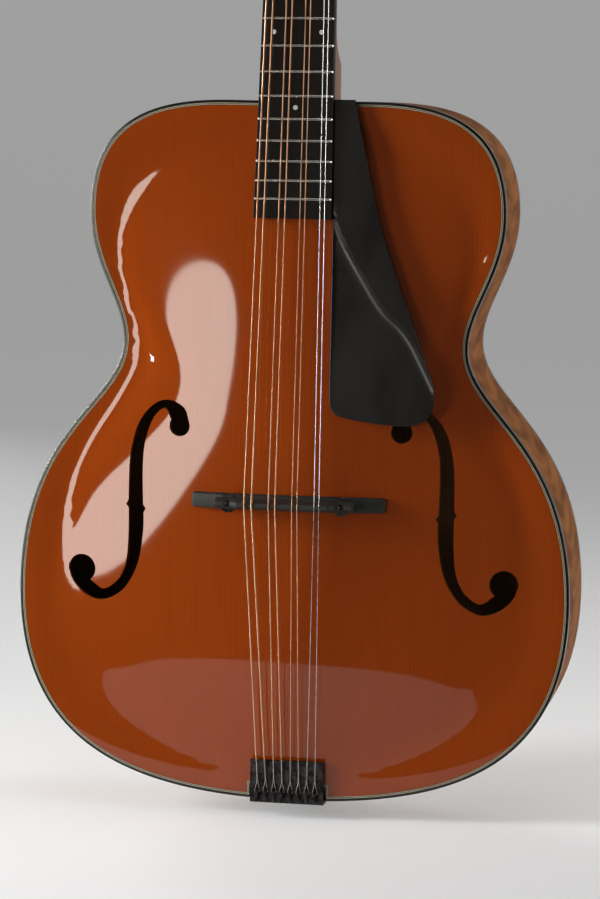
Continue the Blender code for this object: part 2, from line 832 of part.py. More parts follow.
def heel_back(z):
    """Furthest back of the neck's round at a height, heel included."""
    plain = board_y(z) + neck_depth(z)
    start = BODY_TOP + HEEL_LENGTH
    if z >= start:
        return plain
    share = min(1.0, (start - z) / (HEEL_LENGTH - HEEL_CAP_LENGTH))
    side = board_y(z) + BOARD_THICKNESS + GLUE_GAP + NECK_SIDE
    half = board_half(z) - NECK_INSET
    reach = math.sqrt(1 - (HEEL_CAP_HALF / half) ** 2)
    full = side + (heel_seat() - side) / reach
    return plain + (full - plain) * share ** HEEL_SWEEP


def heel_seat():
    """Plane that the heel cap sits on."""
    return back_y(BODY_TOP) - HEEL_CAP_THICKNESS - GLUE_GAP


def cap_half(z):
    """Half width of the heel where it is cut flat for its cap."""
    side = board_y(z) + BOARD_THICKNESS + GLUE_GAP + NECK_SIDE
    reach = (heel_seat() - side) / (heel_back(z) - side)
    if reach >= 1:
        return 0.0
    return (board_half(z) - NECK_INSET) * math.sqrt(1 - reach ** 2)


def neck_section(z, steps=10):
    """D-shaped section of the neck at a height, cut flat where the heel cap sits."""
    half = board_half(z) - NECK_INSET
    flat = board_y(z) + BOARD_THICKNESS + GLUE_GAP
    side = flat + NECK_SIDE
    back = heel_back(z)
    loop = [(-half, flat, z), (half, flat, z)]
    for step in range(steps + 1):
        angle = math.pi * step / steps
        y = side + (back - side) * math.sin(angle)
        if y > heel_seat():
            wide = min(abs(half * math.cos(angle)), cap_half(z))
            loop.append((math.copysign(wide, math.cos(angle)), heel_seat(), z))
        else:
            loop.append((half * math.cos(angle), y, z))
    return loop


def make_neck():
    """Neck with its heel, headstock and tongue under the fingerboard, slotted for the rod."""
    end = BODY_TOP + GLUE_GAP
    heel = BODY_TOP + HEEL_LENGTH
    heights = [*NECK_STATIONS, heel]
    rise = (HEEL_LENGTH - HEEL_CAP_LENGTH) / HEEL_LENGTH
    heights += [heel + (end - heel) * rise * part for part in HEEL_STATIONS]
    heights.append(end)
    scarf = [(x, y, HEAD_Z - (y - HEAD_Y) * math.tan(HEAD_ANGLE)) for x, y, _z in neck_section(0.0)]
    neck = skin("neck", [scarf] + [neck_section(z) for z in heights], neck_wood())
    head = prism("head_blank", head_outline(-SCARF_LAP), 0, HEAD_THICKNESS, neck_wood(), head_place)
    boolean(neck, head, "UNION")
    under = BOARD_THICKNESS + GLUE_GAP
    rest = RIM_Y - GLUE_GAP
    joint = end + TONGUE_LAP
    flat_end = BODY_TOP - TONGUE_FLAT
    tip = BOARD_END + TONGUE_SHORT
    profile = (
        (board_y(joint) + under + TONGUE_DROP, joint), (board_y(tip) + under + TONGUE_DROP, tip),
        (board_y(tip) + under + TONGUE_THICKNESS, tip), (rest, flat_end), (rest, BODY_TOP),
        (rest, joint),
    )
    half = board_half(BODY_TOP) - TONGUE_INSET
    tongue = prism("neck_tongue", profile, -half, half, neck_wood(), facing_side)
    boolean(neck, tongue, "UNION")
    boolean(neck, rod_shape("rod_slot", RUN_GAP), "DIFFERENCE")
    boolean(neck, pocket_shape("rod_pocket"), "DIFFERENCE")
    boolean(neck, post_holes("head_holes", -CUT_PAST, HEAD_THICKNESS + CUT_PAST), "DIFFERENCE")
    return neck


def rod_shape(name, spare):
    """Bar under the fingerboard, grown by a clearance for its slot."""
    low = BODY_TOP + ROD_FROM_JOINT - spare
    high = NUT_LENGTH + ROD_NUT_REACH + spare
    under = BOARD_THICKNESS + 2 * GLUE_GAP
    top = under - 2 * spare if spare else under
    profile = (
        (board_y(high) + top, high), (board_y(low) + top, low),
        (board_y(low) + under + ROD_DEPTH + spare, low), (board_y(high) + under + ROD_DEPTH + spare, high),
    )
    half = ROD_HALF + spare
    return prism(name, profile, -half, half, steel(), facing_side)


def pocket_shape(name):
    """Pocket in the headstock that leaves room for the rod's end."""
    outline = ((-POCKET_HALF, POCKET_START), (POCKET_HALF, POCKET_START),
               (POCKET_HALF, POCKET_LENGTH), (-POCKET_HALF, POCKET_LENGTH))
    above = HEADPLATE_THICKNESS + GLUE_GAP + CUT_PAST
    return prism(name, outline, -above, POCKET_DEPTH, steel(), head_place)


def post_places():
    """Places of the tuner posts by string name: across, and up the headstock."""
    places = {}
    for index, (name, _size, _core) in enumerate(STRINGS):
        side = -1 if index < 4 else 1
        order = index if index < 4 else 7 - index
        places[name] = (side * POST_OFFSET, POST_FIRST + POST_SPACING * order)
    return places


def post_holes(name, low, high):
    """Cutter for the eight post holes between two depths."""
    holes = []
    for string, (x, up) in post_places().items():
        place = head_round(x, up)
        profile = ((POST_RADIUS + RUN_GAP, low), (POST_RADIUS + RUN_GAP, high))
        holes.append(turned(f"{name}_{string}", profile, HOLE_SIDES, steel(), place))
    return join(name, holes, steel())


def head_round(x, up):
    """Places a turned piece whose axis runs back from the headstock's face."""
    return lambda a, b, height: head_place(x + a, up + b, height)


def make_headplate():
    """Dark overlay on the headstock's face."""
    face = -GLUE_GAP - HEADPLATE_THICKNESS
    made = prism("headplate", head_outline(0.0), face, -GLUE_GAP, ebony(), head_place)
    boolean(made, post_holes("overlay_holes", face - CUT_PAST, CUT_PAST), "DIFFERENCE")
    boolean(made, pocket_shape("overlay_pocket"), "DIFFERENCE")


def make_rod_cover():
    """Truss rod cover over the pocket."""
    low = COVER_START
    outline = [(-COVER_HALF * 0.7, low), (COVER_HALF * 0.7, low)]
    outline += bezier((COVER_HALF, low + COVER_LENGTH * 0.35), (COVER_HALF, low + COVER_LENGTH * 0.8),
                      (COVER_HALF * 0.3, low + COVER_LENGTH), (0, low + COVER_LENGTH), 5)
    outline.append((0, low + COVER_LENGTH))
    outline += [(-x, up) for x, up in reversed(outline[2:-1])]
    under = -(2 * GLUE_GAP + HEADPLATE_THICKNESS)
    prism("truss_rod_cover", outline, under - COVER_THICKNESS, under, ebony(), head_place)


def make_fingerboard():
    """Fingerboard with its frets let in."""
    loops = []
    for z in (-GLUE_GAP, BOARD_END):
        half = board_half(z)
        loops.append([(-half, board_y(z), z), (half, board_y(z), z),
                      (half, board_y(z) + BOARD_THICKNESS, z), (-half, board_y(z) + BOARD_THICKNESS, z)])
    board = skin("fingerboard", loops, ebony())
    frets = []
    for number in range(1, FRET_COUNT + 1):
        z = fret_z(number)
        half = board_half(z) - FRET_END_INSET
        section = ((FRET_TANG, -FRET_WIDTH / 2), (0, -FRET_WIDTH / 2), (-FRET_HEIGHT, -FRET_CROWN / 2),
                   (-FRET_HEIGHT, FRET_CROWN / 2), (0, FRET_WIDTH / 2), (FRET_TANG, FRET_WIDTH / 2))
        frets.append(prism(f"fret_{number}", section, -half, half, steel(),
                           lambda a, b, level, z=z: (level, board_y(z) + a, z + b)))
    boolean(board, join("frets", frets, steel()), "UNION")
    boolean(board, guard_pin_shape("board_pin_hole", RUN_GAP), "DIFFERENCE")


def make_nut():
    """Nut at the end of the fingerboard."""
    top = board_y(0) - NUT_RISE
    under = HEAD_Y - GLUE_GAP
    section = ((under, 0.0), (top, 0.0), (top + NUT_FRONT_FALL, NUT_LENGTH), (under, NUT_LENGTH))
    prism("nut", section, -BOARD_HALF_NUT, BOARD_HALF_NUT, bone(), facing_side)


def make_heel_cap():
    """Cap on the end of the heel."""
    seat = heel_seat()
    treble = [(cap_half(BODY_TOP + GLUE_GAP), BODY_TOP + GLUE_GAP)]
    steps = 24
    for step in range(steps + 1):
        z = BODY_TOP + HEEL_CAP_LENGTH + (HEEL_LENGTH - HEEL_CAP_LENGTH) * 0.5 * (step / steps) ** 2
        if cap_half(z) > 0:
            treble.append((cap_half(z), z))
    outline = treble + [(-x, z) for x, z in reversed(treble)]
    prism("heel_cap", outline, seat + GLUE_GAP, seat + GLUE_GAP + HEEL_CAP_THICKNESS, ebony(),
          facing_front)


# Tuners


def plate_levels():
    """Depths of a tuner plate's two faces behind the headstock's face."""
    low = HEAD_THICKNESS + GLUE_GAP
    return low, low + TUNER_PLATE_THICKNESS


def gear_levels():
    """Depths of a gear's two faces behind the headstock's face."""
    low = plate_levels()[1] + GEAR_LIFT
    return low, low + GEAR_THICKNESS


def shaft_axis():
    """Depth of the worm shafts and how far below its post each one runs."""
    return sum(gear_levels()) / 2, GEAR_RADIUS + RUN_GAP + WORM_RADIUS


def make_tuner_plates():
    """Two plates on the headstock's back with ears that carry the worm shafts."""
    deep, below = shaft_axis()
    low, high = plate_levels()
    for name, side in (("tuner_plate_bass", -1), ("tuner_plate_treble", 1)):
        first = POST_FIRST - TUNER_PLATE_MARGIN
        last = POST_FIRST + 3 * POST_SPACING + TUNER_PLATE_MARGIN - below / 2
        near = side * (POST_OFFSET - TUNER_PLATE_HALF)
        far = side * (POST_OFFSET + TUNER_PLATE_HALF)
        outline = ((near, first), (far, first), (far, last), (near, last))
        made = prism(name, outline, low, high, black_metal(), head_place)
        ears = []
        shafts = []
        for order in range(4):
            up = POST_FIRST + POST_SPACING * order - below
            for ear in (-1, 1):
                x = side * POST_OFFSET + ear * EAR_OFFSET
                ring = ((x - EAR_THICKNESS / 2, up - EAR_HALF), (x + EAR_THICKNESS / 2, up - EAR_HALF),
                        (x + EAR_THICKNESS / 2, up + EAR_HALF), (x - EAR_THICKNESS / 2, up + EAR_HALF))
                ears.append(prism(f"{name}_ear", ring, low + TUNER_PLATE_THICKNESS / 2, high + EAR_HEIGHT,
                                  black_metal(), head_place))
            reach = EAR_OFFSET + EAR_THICKNESS
            wide = SHAFT_RADIUS + RUN_GAP
            shafts.append(turned(f"{name}_bore", ((wide, -reach), (wide, reach)),
                                 SHAFT_SIDES, steel(), shaft_place(side, up, deep)))
        boolean(made, join(f"{name}_ears", ears, black_metal()), "UNION")
        boolean(made, join(f"{name}_bores", shafts, steel()), "DIFFERENCE")
        boolean(made, post_holes(f"{name}_holes", low - GLUE_GAP, high + GLUE_GAP), "DIFFERENCE")


def shaft_place(side, up, deep):
    """Places a turned piece whose axis runs outward across the headstock."""
    return lambda a, b, height: head_place(side * (POST_OFFSET + height), up + a, deep + b)


def make_tuner_buttons():
    """Eight worm shafts with their buttons."""
    deep, below = shaft_axis()
    edge = HEAD_HALF_WIDE - POST_OFFSET + BUTTON_GAP
    inner = -EAR_OFFSET - EAR_THICKNESS
    profile = (
        (SHAFT_RADIUS, inner), (SHAFT_RADIUS, -WORM_HALF), (WORM_RADIUS, -WORM_HALF),
        (WORM_RADIUS, WORM_HALF), (SHAFT_RADIUS, WORM_HALF), (SHAFT_RADIUS, edge), (BUTTON_NECK, edge),
        (BUTTON_NECK, edge + BUTTON_LENGTH * 0.15), (BUTTON_RADIUS, edge + BUTTON_LENGTH * 0.35),
        (BUTTON_RADIUS, edge + BUTTON_LENGTH * 0.8), (BUTTON_RADIUS * 0.7, edge + BUTTON_LENGTH),
    )

    def flatness(height):
        return BUTTON_FLATNESS if height > edge + BUTTON_LENGTH * 0.2 else 1

    for string, (x, up) in post_places().items():
        side = math.copysign(1, x)
        place = shaft_place(side, up - below, deep)
        turned(f"tuner_button_{string}", profile, SHAFT_SIDES, black_metal(), place,
               origin=head_place(x, up - below, deep), squash=flatness)


def make_tuner_posts():
    """Eight posts, each with its gear behind the plate."""
    low, high = gear_levels()
    front = -(GLUE_GAP + HEADPLATE_THICKNESS) - POST_STAND
    waist = front + POST_CAP
    shoulder = waist + POST_WAIST_LENGTH
    profile = (
        (POST_RADIUS, front), (POST_RADIUS, waist), (POST_WAIST, waist), (POST_WAIST, shoulder),
        (POST_RADIUS, shoulder), (POST_RADIUS, high + POST_CAP),
    )
    for string, (x, up) in post_places().items():
        origin = head_place(x, up, 0)
        post = turned(f"tuner_post_{string}", profile, HOLE_SIDES, steel(), head_round(x, up), origin)
        teeth = []
        for step in range(2 * GEAR_TEETH):
            angle = math.pi * step / GEAR_TEETH
            radius = GEAR_RADIUS if step % 2 else GEAR_ROOT
            teeth.append((x + radius * math.cos(angle), up + radius * math.sin(angle)))
        gear = prism(f"gear_{string}", teeth, low, high, steel(), head_place)
        boolean(post, gear, "UNION")


# Bridge


def string_level(z, radius):
    """Axis of a string between the nut and the saddle."""
    at_nut = board_y(0) - NUT_RISE - RUN_GAP - radius
    share = z / BRIDGE_Z
    return at_nut + (saddle_crest() - RUN_GAP - radius - at_nut) * share


def saddle_crest():
    """Level of the saddle's top, from the action over the twelfth fret."""
    over_twelve = board_y(BRIDGE_Z / 2) - FRET_HEIGHT - ACTION_AT_TWELVE
    return 2 * over_twelve - (board_y(0) - NUT_RISE)


def base_level(x, visible):
    """Level of the bridge base's foot over the arch at a place across it."""
    edges = (BRIDGE_Z - BASE_WIDTH / 2, BRIDGE_Z + BASE_WIDTH / 2)
    height = max(faceted_height(x, edge, visible, OUTER_RINGS, TOP_ARCH) for edge in edges)
    return RIM_Y - height - GLUE_GAP


def make_bridge():
    """Base on the arch, two posts, two thumbwheels and the saddle."""
    visible = plate_edge(True)
    crown = base_level(0, visible) - BASE_THICKNESS
    loops = []
    for step in range(BASE_STATIONS + 1):
        x = -BASE_HALF + 2 * BASE_HALF * step / BASE_STATIONS
        foot = base_level(x, visible)
        share = abs(x) / BASE_HALF
        if abs(x) <= BRIDGE_POST_OFFSET + WHEEL_RADIUS:
            top = crown
        else:
            top = max(crown, foot - BASE_TIP - (BASE_THICKNESS - BASE_TIP) * (1 - share) * 2)
        half = BASE_WIDTH / 2
        loops.append([(x, foot, BRIDGE_Z + half), (x, foot, BRIDGE_Z - half),
                      (x, top, BRIDGE_Z - half * BASE_TAPER), (x, top, BRIDGE_Z + half * BASE_TAPER)])
    base = skin("bridge_base", loops, ebony())
    wheel_low = crown - WHEEL_LIFT
    wheel_high = wheel_low - WHEEL_THICKNESS
    saddle_low = wheel_high - RUN_GAP
    crest = saddle_crest()
    saddle = make_saddle(saddle_low, crest)
    post_foot = crown + BRIDGE_POST_SEAT
    wide = BRIDGE_POST_RADIUS + RUN_GAP
    seats = []
    bores = []
    for name, side in (("bass", -1), ("treble", 1)):
        x = side * BRIDGE_POST_OFFSET
        place = along_y(x, BRIDGE_Z)
        post = ((BRIDGE_POST_RADIUS, post_foot), (BRIDGE_POST_RADIUS, crest + BRIDGE_POST_SHORT))
        seat = ((wide, post_foot + GLUE_GAP), (wide, crown - CUT_PAST))
        bore = ((wide, saddle_low + CUT_PAST), (wide, crest - CUT_PAST))
        wheel = ((wide, wheel_low), (WHEEL_RADIUS, wheel_low), (WHEEL_RADIUS, wheel_high), (wide, wheel_high))
        turned(f"bridge_post_{name}", post, PIN_SIDES, steel(), place)
        seats.append(turned(f"seat_{name}", seat, PIN_SIDES, steel(), place))
        bores.append(turned(f"bore_{name}", bore, PIN_SIDES, steel(), place))
        turned(f"thumbwheel_{name}", wheel, WHEEL_SIDES, black_metal(), place,
               origin=(x, wheel_low, BRIDGE_Z), hollow=True)
    boolean(base, join("base_seats", seats, steel()), "DIFFERENCE")
    boolean(saddle, join("saddle_bores", bores, steel()), "DIFFERENCE")


def make_saddle(low, crest):
    """Saddle bar, narrow along its crest, stepping down beyond the strings."""
    end = low - SADDLE_END_HEIGHT
    foot = SADDLE_SHOULDER + SADDLE_STEP
    wide = SADDLE_BASE_WIDTH / 2
    narrow = SADDLE_TOP_WIDTH / 2
    loops = []
    for x, top in ((-SADDLE_HALF, end), (-foot, end - SADDLE_END_FALL), (-SADDLE_SHOULDER, crest),
                   (SADDLE_SHOULDER, crest), (foot, end - SADDLE_END_FALL), (SADDLE_HALF, end)):
        loops.append([(x, low, BRIDGE_Z + wide), (x, low, BRIDGE_Z - wide),
                      (x, top, BRIDGE_Z - narrow), (x, top, BRIDGE_Z + narrow)])
    return skin("bridge_saddle", loops, ebony(), origin=(0, low, BRIDGE_Z))


# Tailpiece


TAIL_PLATE_LOW = RIM_Y - TAIL_SADDLE_RISE - GLUE_GAP
TAIL_PLATE_HIGH = TAIL_PLATE_LOW - TAIL_PLATE
FLANGE_NEAR = BODY_BOTTOM - GLUE_GAP
FLANGE_FAR = FLANGE_NEAR - TAIL_PLATE
HOOK_Z = BODY_BOTTOM + HOOK_FROM_EDGE


def hook_x(index):
    """Place of a hook across the tailpiece."""
    return (index - (len(STRINGS) - 1) / 2) * HOOK_SPACING


def make_tailpiece():
    """Bent plate over the tail edge, with eight hooks whose tips point to the tail."""
    start = BODY_BOTTOM + TAIL_REACH
    flange = RIM_Y + TAIL_FLANGE_DEPTH
    profile = ((TAIL_PLATE_LOW, start), (TAIL_PLATE_HIGH, start), (TAIL_PLATE_HIGH, FLANGE_FAR),
               (flange, FLANGE_FAR), (flange, FLANGE_NEAR), (TAIL_PLATE_LOW, FLANGE_NEAR))
    plate_piece = prism("tailpiece", profile, -TAIL_HALF, TAIL_HALF, black_metal(),
                        facing_side)
    sunk = TAIL_PLATE_HIGH + TAIL_PLATE / 2
    rise = TAIL_PLATE_HIGH - HOOK_RISE
    tip = HOOK_Z - HOOK_REACH
    section = ((sunk, HOOK_Z + HOOK_PLATE), (rise, HOOK_Z + HOOK_PLATE), (rise - HOOK_PLATE, HOOK_Z),
               (rise - HOOK_PLATE, tip), (rise, tip), (rise, HOOK_Z), (sunk, HOOK_Z))
    hooks = []
    for index in range(len(STRINGS)):
        x = hook_x(index)
        hooks.append(prism(f"hook_{index}", section, x - HOOK_WIDTH / 2, x + HOOK_WIDTH / 2,
                           black_metal(), facing_side))
    boolean(plate_piece, join("hooks", hooks, black_metal()), "UNION")
    boolean(plate_piece, screw_holes("flange_holes", False), "DIFFERENCE")


def screw_holes(name, with_pin):
    """Cutter for the tailpiece screws and, where asked, the end pin."""
    wide = SCREW_RADIUS + RUN_GAP
    screw = ((wide, FLANGE_FAR - CUT_PAST), (wide, FLANGE_FAR + SCREW_LENGTH + GLUE_GAP))
    tools = []
    for side in (-1, 1):
        place = along_z(side * TAIL_SCREW_OFFSET, RIM_Y + TAIL_SCREW_DEPTH)
        tools.append(turned(f"{name}_screw", screw, HOLE_SIDES, steel(), place))
    if with_pin:
        wide = PIN_SPIGOT_RADIUS + RUN_GAP
        pin = ((wide, BODY_BOTTOM - CUT_PAST), (wide, BODY_BOTTOM + PIN_SPIGOT_LENGTH + GLUE_GAP))
        tools.append(turned(f"{name}_pin", pin, PIN_SIDES, steel(), along_z(0, RIM_Y + PIN_DEPTH)))
    return join(name, tools, steel())


def make_tail_fasteners():
    """Two screws through the flange, and the end pin in the tail block."""
    for name, side in (("bass", -1), ("treble", 1)):
        place = along_z(side * TAIL_SCREW_OFFSET, RIM_Y + TAIL_SCREW_DEPTH)
        under = FLANGE_FAR - GLUE_GAP
        profile = ((SCREW_HEAD * 0.6, under - SCREW_HEAD_HEIGHT), (SCREW_HEAD, under - SCREW_HEAD_HEIGHT / 2),
                   (SCREW_HEAD, under), (SCREW_RADIUS, under), (SCREW_RADIUS, FLANGE_FAR + SCREW_LENGTH))
        turned(f"tailpiece_screw_{name}", profile, PIN_SIDES, black_metal(), place)
    face = BODY_BOTTOM - PIN_STAND
    seat = BODY_BOTTOM - GLUE_GAP
    profile = (
        (PIN_HEAD_RADIUS * 0.75, face), (PIN_HEAD_RADIUS, face + PIN_HEAD_HEIGHT * 0.4),
        (PIN_HEAD_RADIUS * 0.9, face + PIN_HEAD_HEIGHT), (PIN_NECK_RADIUS, face + PIN_HEAD_HEIGHT * 1.5),
        (PIN_NECK_RADIUS, seat), (PIN_SPIGOT_RADIUS, seat),
        (PIN_SPIGOT_RADIUS, BODY_BOTTOM + PIN_SPIGOT_LENGTH),
    )
    turned("end_pin", profile, PIN_SIDES, ebony(), along_z(0, RIM_Y + PIN_DEPTH))


def tail_saddle_shape(name, spare):
    """Inlay that the tailpiece bears on, or its notch when grown by a clearance."""
    half = TAIL_SADDLE_HALF + spare
    high = BODY_BOTTOM + TAIL_SADDLE_WIDTH + spare
    if spare:
        tail = [(x, BODY_BOTTOM - CUT_PAST) for x in (-half, half)]
    else:
        across = [half * (2 * step / TAIL_SADDLE_STEPS - 1) for step in range(TAIL_SADDLE_STEPS + 1)]
        tail = [(x, edge_z(full_outline(), x, False)) for x in across]
    outline = [*tail, (half, high), (-half, high)]
    front = RIM_Y - TAIL_SADDLE_RISE - spare
    return prism(name, outline, front, RIM_Y + TAIL_SADDLE_DEPTH + spare, ebony(), facing_front)


def fit_tail(top):
    """Notches the edge work for the tail saddle, and bores the sides and block at the tail."""
    tail_saddle_shape("tail_saddle", 0)
    for piece in (top, bpy.data.objects["top_binding"], bpy.data.objects["top_purfling"]):
        boolean(piece, tail_saddle_shape(f"{piece.name}_notch", GLUE_GAP), "DIFFERENCE")
    for name in ("rib_bass", "rib_treble", "tail_block"):
        boolean(bpy.data.objects[name], screw_holes(f"{name}_holes", True), "DIFFERENCE")


# Guard


def guard_outline():
    """Edge of the guard, clockwise from the fingerboard at the body's top edge."""
    top = BODY_TOP - GUARD_EDGE[0][1]
    edge = [(x, BODY_TOP - down) for x, down in GUARD_EDGE]
    low = (board_half(BOARD_END) + GUARD_BOARD_GAP, BOARD_END)
    return [(board_half(top) + GUARD_BOARD_GAP, top), *edge, low]


def guard_place(a, b, level):
    """Point on a level parallel to the playing surface."""
    return (a, board_y(b) + level, b)


def make_guard():
    """Guard with its lower step, the standoff under it and the pin to the fingerboard."""
    back = GUARD_DROP + GUARD_THICKNESS
    guard = prism("pickguard", guard_outline(), GUARD_DROP, back, ebony(), guard_place)
    crease = [(x, BODY_TOP - down) for x, down in GUARD_CREASE]
    below = crease[-1][1] - GUARD_STEP_LENGTH
    region = [*crease, (crease[-1][0], below), (crease[0][0], below)]
    step = prism("guard_step", region, GUARD_DROP - CUT_PAST, GUARD_DROP + GUARD_STEP, ebony(), guard_place)
    boolean(guard, step, "DIFFERENCE")
    boolean(guard, guard_pin_shape("guard_pin_hole", RUN_GAP), "DIFFERENCE")
    z = BODY_TOP - STANDOFF_DOWN
    spots = ((STANDOFF_X - STANDOFF_RADIUS, z), (STANDOFF_X, z - STANDOFF_RADIUS))
    foot = RIM_Y - max(faceted_height(*spot, plate_edge(True), OUTER_RINGS, TOP_ARCH) for spot in spots)
    head = board_y(z + STANDOFF_RADIUS) + back
    profile = ((STANDOFF_RADIUS, foot - 2 * GLUE_GAP), (STANDOFF_RADIUS, head + GLUE_GAP))
    turned("guard_standoff", profile, 16, ebony(), along_y(STANDOFF_X, z))
    guard_pin_shape("guard_pin", 0)


def guard_pin_shape(name, spare):
    """Pin between the fingerboard's edge and the guard, or its hole when grown."""
    z = BODY_TOP - GUARD_PIN_DOWN
    edge = board_half(z)
    y = board_y(z) + GUARD_PIN_DROP
    radius = GUARD_PIN_RADIUS + spare
    near = edge - GUARD_PIN_IN_BOARD - spare
    far = edge + GUARD_BOARD_GAP + GUARD_PIN_IN_GUARD + spare
    return turned(name, ((radius, near), (radius, far)), SHAFT_SIDES, steel(),
                  lambda a, b, height: (height, y + a, z + b))


# Strings


def spread(gaps, width):
    """Places of the strings across, with equal spaces between the courses."""
    space = (width - sum(gaps)) / (len(gaps) - 1)
    places = [-width / 2]
    for index, gap in enumerate(gaps):
        places.append(places[-1] + gap)
        if index < len(gaps) - 1:
            places.append(places[-1] + space)
    return places


def winding(centre, radius, pitch, level, side, leave):
    """Helix on a post in headstock coordinates, down to where the strand leaves it."""
    points = []
    for step in range(int(WIND_TURNS * WIND_STEPS), -1, -1):
        angle = leave + side * -1 * 2 * math.pi * step / WIND_STEPS
        deep = level - pitch * step / WIND_STEPS
        x = centre[0] + radius * math.cos(angle)
        up = centre[1] + radius * math.sin(angle)
        points.append(Vector(head_place(x, up, deep)))
    return points


def string_points(index):
    """Centre line of a string from its post, over nut and saddle, to its hook."""
    name, size, core = STRINGS[index]
    radius = size / 2
    x_nut = spread(PAIR_GAPS_NUT, SPREAD_NUT)[index]
    x_saddle = spread(PAIR_GAPS_SADDLE, SPREAD_SADDLE)[index]
    centre = post_places()[name]
    side = math.copysign(1, centre[0])
    wrap = (POST_WAIST + RUN_GAP + radius) / math.cos(math.pi / WIND_STEPS)
    nut_up = (NUT_LENGTH - HEAD_Z) / HEAD_COS
    away = Vector((x_nut - centre[0], nut_up - centre[1]))
    leave = math.atan2(away.y, away.x) + side * -1 * math.acos(wrap / away.length)
    face = -(GLUE_GAP + HEADPLATE_THICKNESS)
    level = face - POST_STAND + POST_CAP + POST_WAIST_LENGTH - RUN_GAP - radius
    points = winding(centre, wrap, size + WIND_SPARE, level, side, leave)
    points.append(Vector((x_nut, string_level(0, radius) + NUT_FRONT_FALL / 2, NUT_LENGTH * 0.8)))
    points.append(Vector((x_nut, string_level(0, radius), 0.0)))
    points.append(Vector((x_saddle, string_level(BRIDGE_Z, radius), BRIDGE_Z + SADDLE_TOP_WIDTH / 4)))
    points.append(Vector((x_saddle, string_level(BRIDGE_Z, radius), BRIDGE_Z - SADDLE_TOP_WIDTH / 4)))
    return points, loop_points(index, size, core)


def loop_points(index, size, core):
    """Loop of a string round its hook, from the strand's end and back beside it."""
    x = hook_x(index)
    level = TAIL_PLATE_HIGH - HOOK_RISE / 2
    wide = HOOK_WIDTH / 2 + RUN_GAP + core / 2
    apex = HOOK_Z + LOOP_LENGTH
    turn = HOOK_Z - RUN_GAP - core / 2
    around = [(x, apex + LOOP_THROAT), (x, apex)]
    for step in range(LOOP_STEPS + 1):
        angle = math.pi * step / LOOP_STEPS
        around.append((x + wide * math.cos(angle), turn - wide * LOOP_FLATNESS * math.sin(angle)))
    back = x - (size / 2 + LOOP_SELF_GAP + core)
    around += [(back, apex - core), (back, apex + LOOP_RETURN)]
    return [Vector((px, level, pz)) for px, pz in around]


def make_strings():
    """Eight strings, each one unbroken tube, with the least gap to itself printed."""
    for index, (name, size, core) in enumerate(STRINGS):
        strand, loop = string_points(index)
        curve = bpy.data.curves.new(f"string_{name}", "CURVE")
        curve.dimensions = "3D"
        curve.bevel_depth = size / 2
        curve.bevel_resolution = 1
        curve.use_fill_caps = True
        spline = curve.splines.new("POLY")
        points = strand + loop
        spline.points.add(len(points) - 1)
        for place, (point, target) in enumerate(zip(points, spline.points)):
            target.co = (*point, 1)
            target.radius = core / size if place > len(strand) else 1
        curve.materials.append(bronze() if size > 0.0005 else steel())
        made = bpy.data.objects.new(f"string_{name}", curve)
        bpy.context.scene.collection.objects.link(made)
        gap = min(winding_gap(strand, size), loop_gap(loop, size, core))
        print(f"string_{name}: least gap to itself {gap * 1000:.2f} mm")


def winding_gap(strand, size):
    """Least gap between neighbouring turns on the post."""
    turns = strand[:int(WIND_TURNS * WIND_STEPS) + 1]
    least = min((turns[place] - turns[place + WIND_STEPS]).length for place in range(len(turns) - WIND_STEPS))
    return least - size


def loop_gap(loop, size, core):
    """Least gap between the strand and the loop's returning end."""
    return abs(loop[0].x - loop[-1].x) - (size + core) / 2


def main():
    """Builds every piece."""
    for old in list(bpy.data.objects):
        bpy.data.objects.remove(old)
    top = make_plates()
    make_edges()
    make_ribs()
    block("neck_block", NECK_BLOCK_HALF, NECK_BLOCK_LENGTH, True)
    block("tail_block", TAIL_BLOCK_HALF, TAIL_BLOCK_LENGTH, False)
    make_tone_bars()
    fit_tail(top)
    make_neck()
    rod_shape("truss_rod", 0)
    make_headplate()
    make_rod_cover()
    make_fingerboard()
    make_nut()
    make_heel_cap()
    make_tuner_plates()
    make_tuner_buttons()
    make_tuner_posts()
    make_bridge()
    make_tailpiece()
    make_tail_fasteners()
    make_guard()
    make_strings()


main()
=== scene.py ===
"""Octave mandolin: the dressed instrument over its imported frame, with its floor, lamps and camera.

Metres, in the frame's own axes: Z runs up the neck, X to the treble side, and the front faces -Y.
"""

import logging
from dataclasses import dataclass, field
from enum import Enum
from functools import cache
from math import acos, atan2, copysign, cos, degrees, hypot, pi, radians, sin, sqrt, tan
from typing import Callable, Iterable, Sequence

import bmesh
import bpy
import numpy as np
from mathutils import Matrix, Quaternion, Vector
from mathutils.geometry import delaunay_2d_cdt


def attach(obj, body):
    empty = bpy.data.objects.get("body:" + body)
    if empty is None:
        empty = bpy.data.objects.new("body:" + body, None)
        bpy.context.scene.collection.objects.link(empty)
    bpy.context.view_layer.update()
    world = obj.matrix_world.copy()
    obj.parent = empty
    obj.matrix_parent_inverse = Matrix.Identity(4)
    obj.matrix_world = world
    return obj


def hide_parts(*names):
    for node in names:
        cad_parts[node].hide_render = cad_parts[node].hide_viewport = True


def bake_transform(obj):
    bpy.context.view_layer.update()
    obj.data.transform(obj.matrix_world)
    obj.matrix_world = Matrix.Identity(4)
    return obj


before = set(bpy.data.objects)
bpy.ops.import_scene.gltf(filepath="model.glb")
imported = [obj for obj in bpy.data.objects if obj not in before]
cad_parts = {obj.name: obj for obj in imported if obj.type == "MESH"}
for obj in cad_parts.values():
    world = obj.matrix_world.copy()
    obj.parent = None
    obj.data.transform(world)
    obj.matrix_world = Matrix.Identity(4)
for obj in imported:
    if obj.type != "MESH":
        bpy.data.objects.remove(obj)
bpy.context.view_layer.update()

Flat = tuple[float, float]
Point = tuple[float, float, float]
